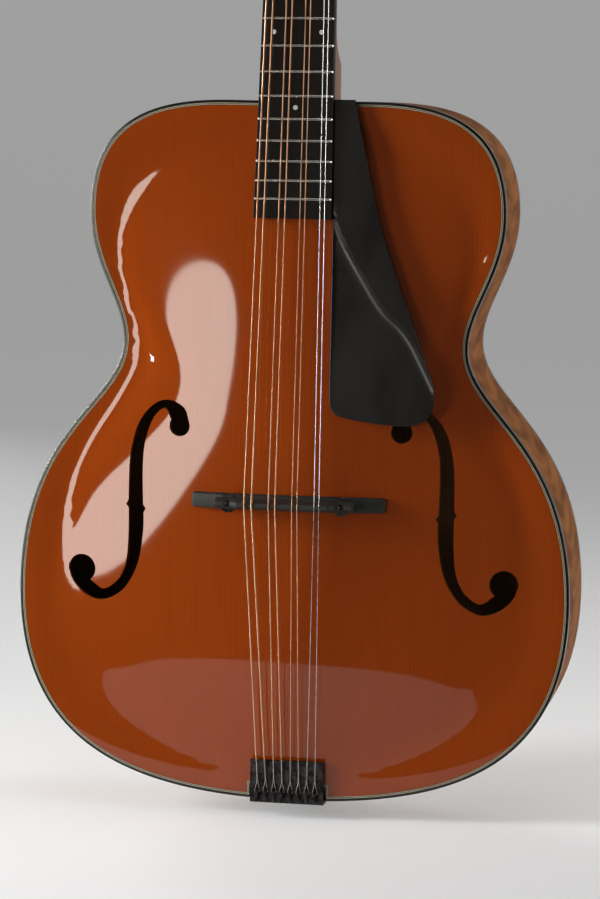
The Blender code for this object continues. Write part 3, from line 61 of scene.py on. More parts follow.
Colour = tuple[float, float, float]
Face = tuple[int, ...]
Place = Callable[[float, float, float], Point]
Piece = bpy.types.Object
Tree = bpy.types.NodeTree
Node = bpy.types.Node
Socket = bpy.types.NodeSocket

FULL_TURN = 2 * pi
HALF_TURN = pi
QUARTER_TURN = pi / 2

log = logging.getLogger("octave_mandolin")


class Side(Enum):
    """Half of the instrument."""

    BASS = -1
    TREBLE = 1

    @property
    def word(self) -> str:
        """Name used in node names."""
        return self.name.lower()


# Curves and meshes


def srgb(red: int, green: int, blue: int) -> Colour:
    """Linear colour of an 8-bit display colour.

    Args:
        red: Red, 0 to 255.
        green: Green, 0 to 255.
        blue: Blue, 0 to 255.

    Returns:
        The same colour as linear light.
    """
    shares = (red / 255, green / 255, blue / 255)
    return tuple(s / 12.92 if s <= 0.04045 else ((s + 0.055) / 1.055) ** 2.4 for s in shares)


def bezier(start: Flat, pull_a: Flat, pull_b: Flat, end: Flat, steps: int) -> list[Flat]:
    """Points of one cubic curve, without its last point.

    Args:
        start: First point.
        pull_a: Handle of the first point.
        pull_b: Handle of the last point.
        end: Last point.
        steps: How many points are made.

    Returns:
        The points from the start on.
    """
    corners = (start, pull_a, pull_b, end)
    points = []
    for step in range(steps):
        t = step / steps
        share = ((1 - t) ** 3, 3 * t * (1 - t) ** 2, 3 * t * t * (1 - t), t ** 3)
        points.append(tuple(sum(share[i] * corners[i][axis] for i in range(4)) for axis in range(2)))
    return points


def arc(centre: Flat, radius: float, start: float, end: float, steps: int) -> list[Flat]:
    """Points of an arc between two angles in degrees.

    Args:
        centre: Centre of the arc.
        radius: Its radius.
        start: First angle.
        end: Last angle.
        steps: How many steps it takes.

    Returns:
        Both ends and the points between them.
    """
    angles = [radians(start + (end - start) * step / steps) for step in range(steps + 1)]
    return [(centre[0] + radius * cos(a), centre[1] + radius * sin(a)) for a in angles]


def sweep(turn: float, steps: int) -> list[float]:
    """Angles from 0 to a turn at even steps, both included.

    Args:
        turn: The whole turn in radians.
        steps: How many steps it takes.

    Returns:
        One angle more than the steps.
    """
    return [turn * step / steps for step in range(steps + 1)]


def rounded(a: float, b: float, radius: float, steps: int) -> list[Flat]:
    """Points of a rounded corner.

    Args:
        a: Where the corner's first face lies.
        b: Where its second face lies.
        radius: Radius of the rounding.
        steps: How many steps it takes.

    Returns:
        The points from the first face to the second.
    """
    return [(a + radius - radius * cos(turn), b + radius - radius * sin(turn))
            for turn in sweep(QUARTER_TURN, steps)]


def flowing(points: Sequence[Sequence[float]], steps: int) -> list[tuple]:
    """Smooth curve through points, in two or three dimensions.

    Args:
        points: Points that the curve passes through.
        steps: Steps between neighbouring points.

    Returns:
        The points of the curve, both ends included.
    """
    given = [Vector(point) for point in points]
    padded = [2 * given[0] - given[1], *given, 2 * given[-1] - given[-2]]
    curve = []
    for index in range(1, len(padded) - 2):
        p0, p1, p2, p3 = padded[index - 1:index + 3]
        for step in range(steps):
            t = step / steps
            curve.append(tuple(0.5 * ((2 * p1) + (p2 - p0) * t + (2 * p0 - 5 * p1 + 4 * p2 - p3) * t * t
                                      + (3 * p1 - p0 - 3 * p2 + p3) * t ** 3)))
    curve.append(tuple(given[-1]))
    return curve


def spaced(points: Sequence[Flat], count: int) -> list[Flat]:
    """Points at even distances along a line.

    Args:
        points: The line.
        count: How many spaces it is cut into.

    Returns:
        One point more than the spaces, both ends included.
    """
    line = np.array(points, float)
    lengths = np.concatenate(([0.0], np.cumsum(np.hypot(*np.diff(line, axis=0).T))))
    wanted = np.linspace(0.0, lengths[-1], count + 1)
    return list(zip(np.interp(wanted, lengths, line[:, 0]), np.interp(wanted, lengths, line[:, 1])))


def inset(outline: Sequence[Flat], distance: float) -> list[Flat]:
    """Closed clockwise outline moved inward.

    Args:
        outline: The outline's points.
        distance: How far each point moves.

    Returns:
        The moved points, in the same order.
    """
    line = np.array(outline, float)
    along = np.roll(line, -1, axis=0) - np.roll(line, 1, axis=0)
    along /= np.linalg.norm(along, axis=1)[:, None]
    moved = line + np.stack((along[:, 1], -along[:, 0]), axis=1) * distance
    return [tuple(point) for point in moved]


def within(places: np.ndarray, outline: Sequence[Flat]) -> np.ndarray:
    """Which places lie inside a closed outline.

    Args:
        places: Array of (a, b) rows.
        outline: The closed outline.

    Returns:
        One truth value for each place.
    """
    line = np.array(outline, float)
    after = np.roll(line, -1, axis=0)
    inside = np.zeros(len(places), bool)
    for (ax, az), (bx, bz) in zip(line, after):
        if az == bz:
            continue
        crosses = (az > places[:, 1]) != (bz > places[:, 1])
        inside ^= crosses & (places[:, 0] < (bx - ax) * (places[:, 1] - az) / (bz - az) + ax)
    return inside


def distance_to(places: np.ndarray, line: Sequence[Flat], closed: bool) -> tuple[np.ndarray, np.ndarray]:
    """Distance of places to a line, and the side that they are on.

    Args:
        places: Array of (a, b) rows.
        line: The line's points.
        closed: Whether the last point joins the first.

    Returns:
        The distances, and for each place +1 on the line's right and -1 on its left.
    """
    points = np.array(line, float)
    starts = points if closed else points[:-1]
    ends = np.roll(points, -1, axis=0) if closed else points[1:]
    best = np.full(len(places), 1e9)
    side = np.ones(len(places))
    for start, end in zip(starts, ends):
        along = end - start
        length = float(along @ along)
        if length == 0:
            continue
        share = np.clip(((places - start) @ along) / length, 0, 1)
        gap = places - (start + share[:, None] * along)
        far = np.hypot(gap[:, 0], gap[:, 1])
        nearer = far < best
        turn = along[0] * gap[:, 1] - along[1] * gap[:, 0]
        side = np.where(nearer, np.where(turn <= 0, 1.0, -1.0), side)
        best = np.where(nearer, far, best)
    return best, side


@dataclass
class Shape:
    """Points and faces of a piece, with a finish number for each face."""

    points: list[Point] = field(default_factory=list)
    faces: list[Face] = field(default_factory=list)
    finishes: list[int] = field(default_factory=list)

    def add(self, points: Iterable[Point], faces: Iterable[Sequence[int]], finish: int = 0) -> "Shape":
        """Adds a part of the shape.

        Args:
            points: Its points.
            faces: Its faces, numbered from its own first point.
            finish: Number of its finish.

        Returns:
            The shape itself.
        """
        start = len(self.points)
        self.points += [tuple(point) for point in points]
        new = [tuple(start + index for index in face) for face in faces]
        self.faces += new
        self.finishes += [finish] * len(new)
        return self

    def skin(self, loops: Sequence[Sequence[Point]], finish: int = 0, closed: bool = False,
             caps: bool = True) -> "Shape":
        """Skin through loops of equal length.

        Args:
            loops: The loops, in order.
            finish: Number of the finish.
            closed: Whether the last loop joins the first.
            caps: Whether the two ends are closed.

        Returns:
            The shape itself.
        """
        count = len(loops[0])
        faces = []
        for row in range(len(loops) if closed else len(loops) - 1):
            after = (row + 1) % len(loops)
            for step in range(count):
                other = (step + 1) % count
                faces.append(
                    (row * count + step, row * count + other, after * count + other, after * count + step))
        if caps and not closed:
            faces.append(tuple(range(count))[::-1])
            faces.append(tuple((len(loops) - 1) * count + step for step in range(count)))
        return self.add([point for loop in loops for point in loop], faces, finish)

    def prism(self, outline: Sequence[Flat], low: float, high: float, place: Place,
              finish: int = 0) -> "Shape":
        """Outline run between two levels.

        Args:
            outline: The outline.
            low: First level.
            high: Second level.
            place: Sets a point of the outline at a level in space.
            finish: Number of the finish.

        Returns:
            The shape itself.
        """
        return self.skin([[place(a, b, level) for a, b in outline] for level in (low, high)], finish)

    def turned(self, profile: Sequence[Flat], sides: int, place: Place, finish: int = 0,
               ring: bool = False) -> "Shape":
        """Turned form.

        Args:
            profile: Radius and height of each ring.
            sides: Points in each ring.
            place: Sets (across, across, height) in space.
            finish: Number of the finish.
            ring: Whether the profile closes on itself round a bore.

        Returns:
            The shape itself.
        """
        turn = sweep(FULL_TURN, sides)[:-1]
        loops = [[place(radius * cos(a), radius * sin(a), height) for a in turn]
                 for radius, height in profile]
        return self.skin(loops, finish, closed=ring)

    def tube(self, path: Sequence[Point], radii: Sequence[float], sides: int, finish: int = 0) -> "Shape":
        """Round tube along a path.

        Args:
            path: Middle of the tube.
            radii: Radius at each point of the path.
            sides: Points in each ring.
            finish: Number of the finish.

        Returns:
            The shape itself.
        """
        line = [Vector(point) for point in path]
        loops = []
        normal = Vector((0, -1, 0))
        for index, here in enumerate(line):
            along = (line[min(index + 1, len(line) - 1)] - line[max(index - 1, 0)]).normalized()
            normal = normal - along * normal.dot(along)
            if normal.length < 1e-6:
                normal = along.orthogonal()
            normal.normalize()
            across = along.cross(normal)
            loops.append([tuple(here + (normal * cos(turn) + across * sin(turn)) * radii[index])
                          for turn in sweep(FULL_TURN, sides)[:-1]])
        return self.skin(loops, finish)

    def build(self, name: str, finishes: Sequence["Finish"], crease: float = 35.0,
              bevel: float = 0.0, outward: bool = True) -> Piece:
        """Makes the object.

        Args:
            name: Its name.
            finishes: Its finishes, by number.
            crease: Angle in degrees above which an edge stays sharp.
            bevel: Width of the rounding along its sharp edges, or 0.
            outward: Whether faces are turned outward.

        Returns:
            The object, in the frame's axes.
        """
        mesh = bpy.data.meshes.new(name)
        mesh.from_pydata(self.points, [], self.faces)
        mesh.polygons.foreach_set("material_index", self.finishes)
        if outward:
            work = bmesh.new()
            work.from_mesh(mesh)
            bmesh.ops.recalc_face_normals(work, faces=work.faces)
            work.to_mesh(mesh)
            work.free()
        for finish in finishes:
            mesh.materials.append(finish.material())
        mesh.shade_smooth()
        mesh.set_sharp_from_angle(angle=radians(crease))
        made = bpy.data.objects.new(name, mesh)
        bpy.context.scene.collection.objects.link(made)
        if bevel:
            rounding = made.modifiers.new("rounding", "BEVEL")
            rounding.width = bevel
            rounding.segments = 2
            rounding.limit_method = "ANGLE"
            rounding.angle_limit = radians(crease)
            rounding.harden_normals = True
        return made


def cut_sheet(edge: Sequence[Flat], holes: Sequence[Sequence[Flat]], pitch: float,
              lines: Sequence[Sequence[Flat]] = ()) -> tuple[np.ndarray, list[Face], list[list[int]]]:
    """Triangles of a flat sheet inside an edge and outside its holes.

    Args:
        edge: Closed outer edge.
        holes: Closed edges of the holes.
        pitch: Spacing of the points inside the sheet.
        lines: Open lines that the triangles follow.

    Returns:
        The points, the triangles turned anticlockwise, and each rim as point numbers.
    """
    row_share, edge_share, hole_share, line_share = 0.866, 0.5, 0.4, 0.35
    merge, least_turn = 1e-8, 1e-14
    points: list[Flat] = []
    sides: list[tuple[int, int]] = []
    rims = []
    for rim in (edge, *holes):
        start = len(points)
        points += list(rim)
        count = len(rim)
        sides += [(start + step, start + (step + 1) % count) for step in range(count)]
        rims.append(list(range(start, start + count)))
    for line in lines:
        start = len(points)
        points += list(line)
        sides += [(start + step, start + step + 1) for step in range(len(line) - 1)]
    low = np.min(np.array(edge), axis=0)
    high = np.max(np.array(edge), axis=0)
    rows = np.arange(low[1], high[1], pitch * row_share)
    grid = np.array([(x + (pitch / 2 if row % 2 else 0), z) for row, z in enumerate(rows)
                     for x in np.arange(low[0], high[0], pitch)])
    keep = within(grid, edge) & (distance_to(grid, edge, True)[0] > pitch * edge_share)
    for hole in holes:
        keep &= ~within(grid, hole) & (distance_to(grid, hole, True)[0] > pitch * hole_share)
    for line in lines:
        keep &= distance_to(grid, line, False)[0] > pitch * line_share
    points += [tuple(place) for place in grid[keep]]
    given = [Vector(point) for point in points]
    made, _edges, faces, origins, _a, _b = delaunay_2d_cdt(given, sides, [], 0, merge)
    flat = np.array([tuple(place) for place in made])
    triangles = np.array([face for face in faces if len(face) == 3])
    middle = flat[triangles].mean(axis=1)
    good = within(middle, edge)
    for hole in holes:
        good &= ~within(middle, hole)
    where = {origin: index for index, found in enumerate(origins) for origin in found}
    kept = []
    for a, b, c in triangles[good]:
        turn = np.cross(flat[b] - flat[a], flat[c] - flat[a])
        if abs(turn) > least_turn:
            kept.append((int(a), int(b), int(c)) if turn > 0 else (int(a), int(c), int(b)))
    return flat, kept, [[where[index] for index in rim] for rim in rims]


def front(x: float, z: float, y: float) -> Point:
    """Places an outline of (x, z) at a level along Y."""
    return (x, y, z)


def sideways(y: float, z: float, x: float) -> Point:
    """Places a profile of (y, z) at a level along X."""
    return (x, y, z)


def facing_front(x: float, z: float) -> Place:
    """Places a turned form whose axis runs along Y."""
    return lambda a, b, height: (x + a, height, z + b)


def upright(x: float, y: float) -> Place:
    """Places a turned form whose axis runs along Z."""
    return lambda a, b, height: (x + a, y + b, height)


# Shared measurements


@dataclass(frozen=True)
class Layout:
    """Measurements that more than one sub-assembly follows."""

    scale_length: float = 0.578
    nut_surface: float = -0.0105
    board_angle: float = radians(5.1)
    board_rise: float = 0.007
    board_half_nut: float = 0.0191
    board_half_end: float = 0.0251
    board_thickness: float = 0.006
    board_tail: float = 0.0124
    fret_count: int = 19
    joint_fret: int = 14
    heel_setback: float = 0.0031
    body_length: float = 0.4502
    rib_neck: float = 0.076
    rib_tail: float = 0.086
    centre_down: float = 0.2364
    gap: float = 0.0003
    nut_length: float = 0.005
    nut_rise: float = 0.0018
    fret_height: float = 0.0012
    action: float = 0.0026
    head_angle: float = radians(14)
    notch_depth: float = 0.6

    def fret(self, number: int) -> float:
        """Height of a fret."""
        return -self.scale_length * (1 - 2 ** (-number / 12))

    def board(self, z: float) -> float:
        """Level of the playing surface at a height."""
        return self.nut_surface + tan(self.board_angle) * z

    def under_board(self, z: float) -> float:
        """Level just under the fingerboard at a height."""
        return self.board(z) + self.board_thickness + self.gap

    @property
    def top(self) -> float:
        """Upper end of the body."""
        return self.fret(self.joint_fret) - self.heel_setback

    @property
    def bottom(self) -> float:
        """Lower end of the body."""
        return self.top - self.body_length

    @property
    def rim(self) -> float:
        """Plane of the soundboard's edge."""
        return self.board(self.fret(self.joint_fret)) + self.board_rise

    @property
    def centre(self) -> float:
        """Height of the middle of the arching."""
        return self.top - self.centre_down

    @property
    def bridge(self) -> float:
        """Height of the bridge."""
        return -self.scale_length

    @property
    def board_end(self) -> float:
        """Lower end of the fingerboard."""
        return self.fret(self.fret_count) - self.board_tail

    def back(self, z: float) -> float:
        """Plane of the back's edge at a height."""
        share = (self.top - z) / self.body_length
        return self.rim + self.rib_neck + (self.rib_tail - self.rib_neck) * share

    def board_half(self, z: float) -> float:
        """Half width of the fingerboard at a height."""
        return self.board_half_nut + (self.board_half_end - self.board_half_nut) * z / self.board_end

    @property
    def crest(self) -> float:
        """Level of the saddle's crest."""
        middle = self.board(self.bridge / 2) - self.fret_height - self.action
        return 2 * middle - (self.board(0) - self.nut_rise)

    def string_axis(self, z: float, radius: float) -> float:
        """Level of a string's middle between nut and saddle.

        Args:
            z: Height.
            radius: Radius of the string.

        Returns:
            The level.
        """
        nut = self.board(0) - self.nut_rise
        return nut + (self.crest - nut) * z / self.bridge - radius * self.notch_depth

    def head(self, x: float, up: float, deep: float) -> Point:
        """Point from headstock measurements.

        Args:
            x: Place across.
            up: How far it is up the face.
            deep: How far it is back from the face.

        Returns:
            The point.
        """
        sine, cosine = sin(self.head_angle), cos(self.head_angle)
        level = self.nut_surface + self.board_thickness + self.gap
        start = self.nut_length + self.gap
        return (x, level + up * sine + deep * cosine, start + up * cosine - deep * sine)


LAYOUT = Layout()


def on_head(x: float, up: float, deep: float = 0.0, way: int = 1) -> Place:
    """Places a form square to the headstock's face, its height growing inward or, with way -1, outward."""
    return lambda a, b, height: LAYOUT.head(x + a, up + b, deep + way * height)


@dataclass
class BodyOutline:
    """Outer edge of the body, measured down from its upper end."""

    upper: float = 0.0706
    waist: float = 0.1539
    lower: float = 0.3172
    upper_half: float = 0.1342
    waist_half: float = 0.1114
    lower_half: float = 0.1795
    shoulder_flat: float = 0.024
    pulls: tuple[float, ...] = (0.036, 0.078, 0.0363, 0.0245, 0.0417, 0.1070, 0.1055, 0.1035)
    curve_steps: int = 60
    spaces: int = 150
    tail_clear: float = 0.031

    def half(self) -> list[Flat]:
        """Treble half of the edge.

        Returns:
            The points from the neck to the tail, at even spaces.
        """
        top = LAYOUT.top
        upper, waist, lower = top - self.upper, top - self.waist, top - self.lower
        p, steps = self.pulls, self.curve_steps
        line = [(0.0, top)]
        line += bezier((self.shoulder_flat, top), (self.shoulder_flat + p[0], top),
                       (self.upper_half, upper + p[1]), (self.upper_half, upper), steps)
        line += bezier((self.upper_half, upper), (self.upper_half, upper - p[2]),
                       (self.waist_half, waist + p[3]), (self.waist_half, waist), steps)
        line += bezier((self.waist_half, waist), (self.waist_half, waist - p[4]),
                       (self.lower_half, lower + p[5]), (self.lower_half, lower), steps)
        line += bezier((self.lower_half, lower), (self.lower_half, lower - p[6]),
                       (p[7], LAYOUT.bottom), (0.0, LAYOUT.bottom), steps)
        line.append((0.0, LAYOUT.bottom))
        return spaced(line, self.spaces)

    def full(self) -> list[Flat]:
        """Whole edge, clockwise from the neck as seen from the front."""
        treble = self.half()
        return treble + [(-x, z) for x, z in reversed(treble[1:-1])]

    def line(self, distance: float) -> list[Flat]:
        """Whole edge moved inward by a distance."""
        return inset(self.full(), distance)

    def treble_count(self) -> int:
        """Points of the edge on the treble side that lie clear of the tail saddle."""
        return sum(1 for x, z in self.half() if x > self.tail_clear or z > LAYOUT.centre)

    def open_line(self, distance: float, half: float) -> list[Flat]:
        """Inset edge that stops short of the tail saddle, from its treble side's start at the neck.

        Args:
            distance: How far the edge is moved inward.
            half: Half width that is left open at the tail.

        Returns:
            The points from the tail's bass side, over the neck, to the tail's treble side.
        """
        line = self.line(distance)
        count = self.treble_count()
        treble = [*line[:count], self.crossing(line[count - 1:self.spaces + 1], half)]
        rest = len(line) - count + 1
        return [self.crossing(line[self.spaces:rest + 1], -half), *line[rest:], *treble]

    def stepped_line(self, distance: float, half: float, top: float) -> list[Flat]:
        """Inset edge, closed, that steps up round an inlay at the tail.

        Args:
            distance: How far the edge is moved inward.
            half: Half width of the step.
            top: How far the step rises over the body's lower end.

        Returns:
            The closed edge, clockwise.
        """
        high = LAYOUT.bottom + top
        return self.open_line(distance, half) + [(half, high), (-half, high)]

    @staticmethod
    def crossing(line: Sequence[Flat], x: float) -> Flat:
        """First place where a line passes a given place across.

        Args:
            line: The line.
            x: The place across.

        Returns:
            The point on the line, or its first point if it passes nowhere.
        """
        for (ax, az), (bx, bz) in zip(line, line[1:]):
            if min(ax, bx) <= x <= max(ax, bx) and ax != bx:
                return (x, az + (bz - az) * (x - ax) / (bx - ax))
        return line[0]


OUTLINE = BodyOutline()


@dataclass
class Arching:
    """Carved arch of a plate, over a given edge."""

    edge: list[Flat]
    height: float = 0.0152
    oval_half_width: float = 0.1756
    oval_half_length: float = 0.2581
    oval_centre: float = -0.5552
    edge_hold: float = 6.85
    edge_rise: float = 6.785
    arch_edge: float = 0.927
    fullness: float = 1.763
    sweep: float = 1.3
    channel_depth: float = 0.0012
    channel_place: float = 0.888
    channel_width: float = 0.063
    slope_base: float = 0.003

    def __post_init__(self) -> None:
        """Reads how far the edge lies in each direction."""
        line = np.array(self.edge) - np.array((0.0, LAYOUT.centre))
        angles = np.arctan2(line[:, 1], line[:, 0])
        order = np.argsort(angles)
        self._angles = angles[order]
        self._reach = np.hypot(line[:, 0], line[:, 1])[order]

    def level(self, x: np.ndarray, z: np.ndarray) -> np.ndarray:
        """Height of the arch over the plate's edge plane.

        Args:
            x: Places across.
            z: Heights.

        Returns:
            The level at each place.
        """
        down = z - LAYOUT.centre
        reach = np.interp(np.arctan2(down, x), self._angles, self._reach, period=2 * pi)
        share = np.clip(np.hypot(x, down) / reach, 0, 1)
        oval = np.hypot(x / self.oval_half_width, (z - self.oval_centre) / self.oval_half_length)
        mixed = oval * (1 - share ** self.edge_hold) + share ** self.edge_rise
        inner = np.clip(1 - (mixed / self.arch_edge) ** self.fullness, 0, None)
        channel = self.channel_depth * np.exp(-((share - self.channel_place) / self.channel_width) ** 2)
        return self.height * inner ** self.sweep - channel * share

    def at(self, x: float, z: float) -> float:
        """Height of the arch at one place."""
        return float(self.level(np.array([x]), np.array([z]))[0])

    def slopes(self, x: np.ndarray, z: np.ndarray) -> tuple[np.ndarray, np.ndarray]:
        """Slopes of the arch, over a short base that keeps them smooth.

        Args:
            x: Places across.
            z: Heights.

        Returns:
            The slopes across and along.
        """
        base = self.slope_base
        across = (self.level(x + base, z) - self.level(x - base, z)) / (2 * base)
        along = (self.level(x, z + base) - self.level(x, z - base)) / (2 * base)
        return across, along


# Finishes


class Graph:
    """Short way to place and join shader nodes in one tree."""

    def __init__(self, tree: Tree) -> None:
        """Keeps the tree."""
        self.tree = tree

    def node(self, kind: str, **settings: object) -> Node:
        """Adds a node.

        Args:
            kind: Its type.
            settings: Attributes to set on it.

        Returns:
            The node.
        """
        made = self.tree.nodes.new(kind)
        for name, value in settings.items():
            setattr(made, name, value)
        return made

    def join(self, out: Socket, into: Socket) -> None:
        """Links two sockets."""
        self.tree.links.new(out, into)

    def feed(self, value: object, into: Socket) -> None:
        """Links a socket, or sets a plain value.

        Args:
            value: The socket or the value.
            into: The input that receives it.
        """
        if isinstance(value, Socket):
            self.join(value, into)
        else:
            into.default_value = value

    def maths(self, operation: str, one: object, two: object = 0.0, clamp: bool = False) -> Socket:
        """Result of a Math node.

        Args:
            operation: Its operation.
            one: First value or socket.
            two: Second value or socket.
            clamp: Whether the result is held between 0 and 1.

        Returns:
            The result's socket.
        """
        made = self.node("ShaderNodeMath", operation=operation, use_clamp=clamp)
        self.feed(one, made.inputs[0])
        self.feed(two, made.inputs[1])
        return made.outputs[0]

    def times(self, one: object, two: object) -> Socket:
        """Product of two values or sockets."""
        return self.maths("MULTIPLY", one, two)

    def plus(self, one: object, two: object, clamp: bool = False) -> Socket:
        """Sum of two values or sockets, held between 0 and 1 if asked."""
        return self.maths("ADD", one, two, clamp)

    def minus(self, one: object, two: object) -> Socket:
        """Difference of two values or sockets."""
        return self.maths("SUBTRACT", one, two)

    def split(self, vector: Socket) -> list[Socket]:
        """Splits a vector.

        Args:
            vector: The vector.

        Returns:
            Its three parts.
        """
        parts = self.node("ShaderNodeSeparateXYZ")
        self.join(vector, parts.inputs[0])
        return list(parts.outputs)

    def vector(self, *parts: object) -> Socket:
        """Joins three parts to a vector.

        Args:
            parts: Three values or sockets.

        Returns:
            The vector.
        """
        together = self.node("ShaderNodeCombineXYZ")
        for into, part in zip(together.inputs, parts):
            self.feed(part, into)
        return together.outputs[0]

    def stretch(self, vector: Socket, scale: Sequence[object]) -> Socket:
        """Vector with each part multiplied by its own value or socket.

        Args:
            vector: The vector.
            scale: A value or socket for each part.

        Returns:
            The stretched vector.
        """
        return self.vector(*(self.times(part, share) for part, share in zip(self.split(vector), scale)))

    def noise(self, vector: Socket, scale: float, detail: float = 3.0, roughness: float = 0.55) -> Socket:
        """Value of a Noise Texture.

        Args:
            vector: Where it is read.
            scale: Its scale.
            detail: Its detail.
            roughness: Its roughness.

        Returns:
            The value, 0 to 1.
        """
        made = self.node("ShaderNodeTexNoise")
        made.inputs["Scale"].default_value = scale
        made.inputs["Detail"].default_value = detail
        made.inputs["Roughness"].default_value = roughness
        self.join(vector, made.inputs["Vector"])
        return made.outputs["Fac"]

    def remap(self, value: Socket, low: object, high: object, to_low: float = 0.0,
              to_high: float = 1.0) -> Socket:
        """Value of a clamped Map Range.

        Args:
            value: The value that is mapped.
            low: Where the range starts.
            high: Where it ends.
            to_low: Result at its start.
            to_high: Result at its end.

        Returns:
            The mapped value.
        """
        made = self.node("ShaderNodeMapRange")
        self.join(value, made.inputs["Value"])
        self.feed(low, made.inputs["From Min"])
        self.feed(high, made.inputs["From Max"])
        made.inputs["To Min"].default_value = to_low
        made.inputs["To Max"].default_value = to_high
        return made.outputs["Result"]

    def blend(self, share: object, one: object, two: object, kind: str = "MIX") -> Socket:
        """Mixed colour.

        Args:
            share: Share of the second colour.
            one: First colour.
            two: Second colour.
            kind: How they are mixed.

        Returns:
            The colour's socket.
        """
        made = self.node("ShaderNodeMix", data_type="RGBA", blend_type=kind)
        self.feed(share, made.inputs[0])
        self.feed(one, made.inputs[6])
        self.feed(two, made.inputs[7])
        return made.outputs[2]


class Group(Graph):
    """Shader node group with named inputs and outputs."""

    def __init__(self, name: str, outputs: Sequence[str], **inputs: object) -> None:
        """Makes the group with its sockets.

        Args:
            name: Its name.
            outputs: Its outputs; Color is a colour, any other is a value.
            inputs: Its inputs, each with a default: a number, a colour or a vector.
        """
        super().__init__(bpy.data.node_groups.new(name, "ShaderNodeTree"))
        kinds = {1: "NodeSocketFloat", 3: "NodeSocketVector", 4: "NodeSocketColor"}
        for label, default in inputs.items():
            kind = kinds[len(default) if isinstance(default, tuple) else 1]
            socket = self.tree.interface.new_socket(label, in_out="INPUT", socket_type=kind)
            socket.default_value = default
        for label in outputs:
            kind = kinds[4 if label == "Color" else 1]
            self.tree.interface.new_socket(label, in_out="OUTPUT", socket_type=kind)
        self.ins = self.node("NodeGroupInput").outputs
        self.outs = self.node("NodeGroupOutput").inputs

    def give(self, **values: Socket) -> Tree:
        """Joins the named outputs.

        Args:
            values: The socket for each output.

        Returns:
            The group's tree.
        """
        for label, value in values.items():
            self.join(value, self.outs[label])
        return self.tree


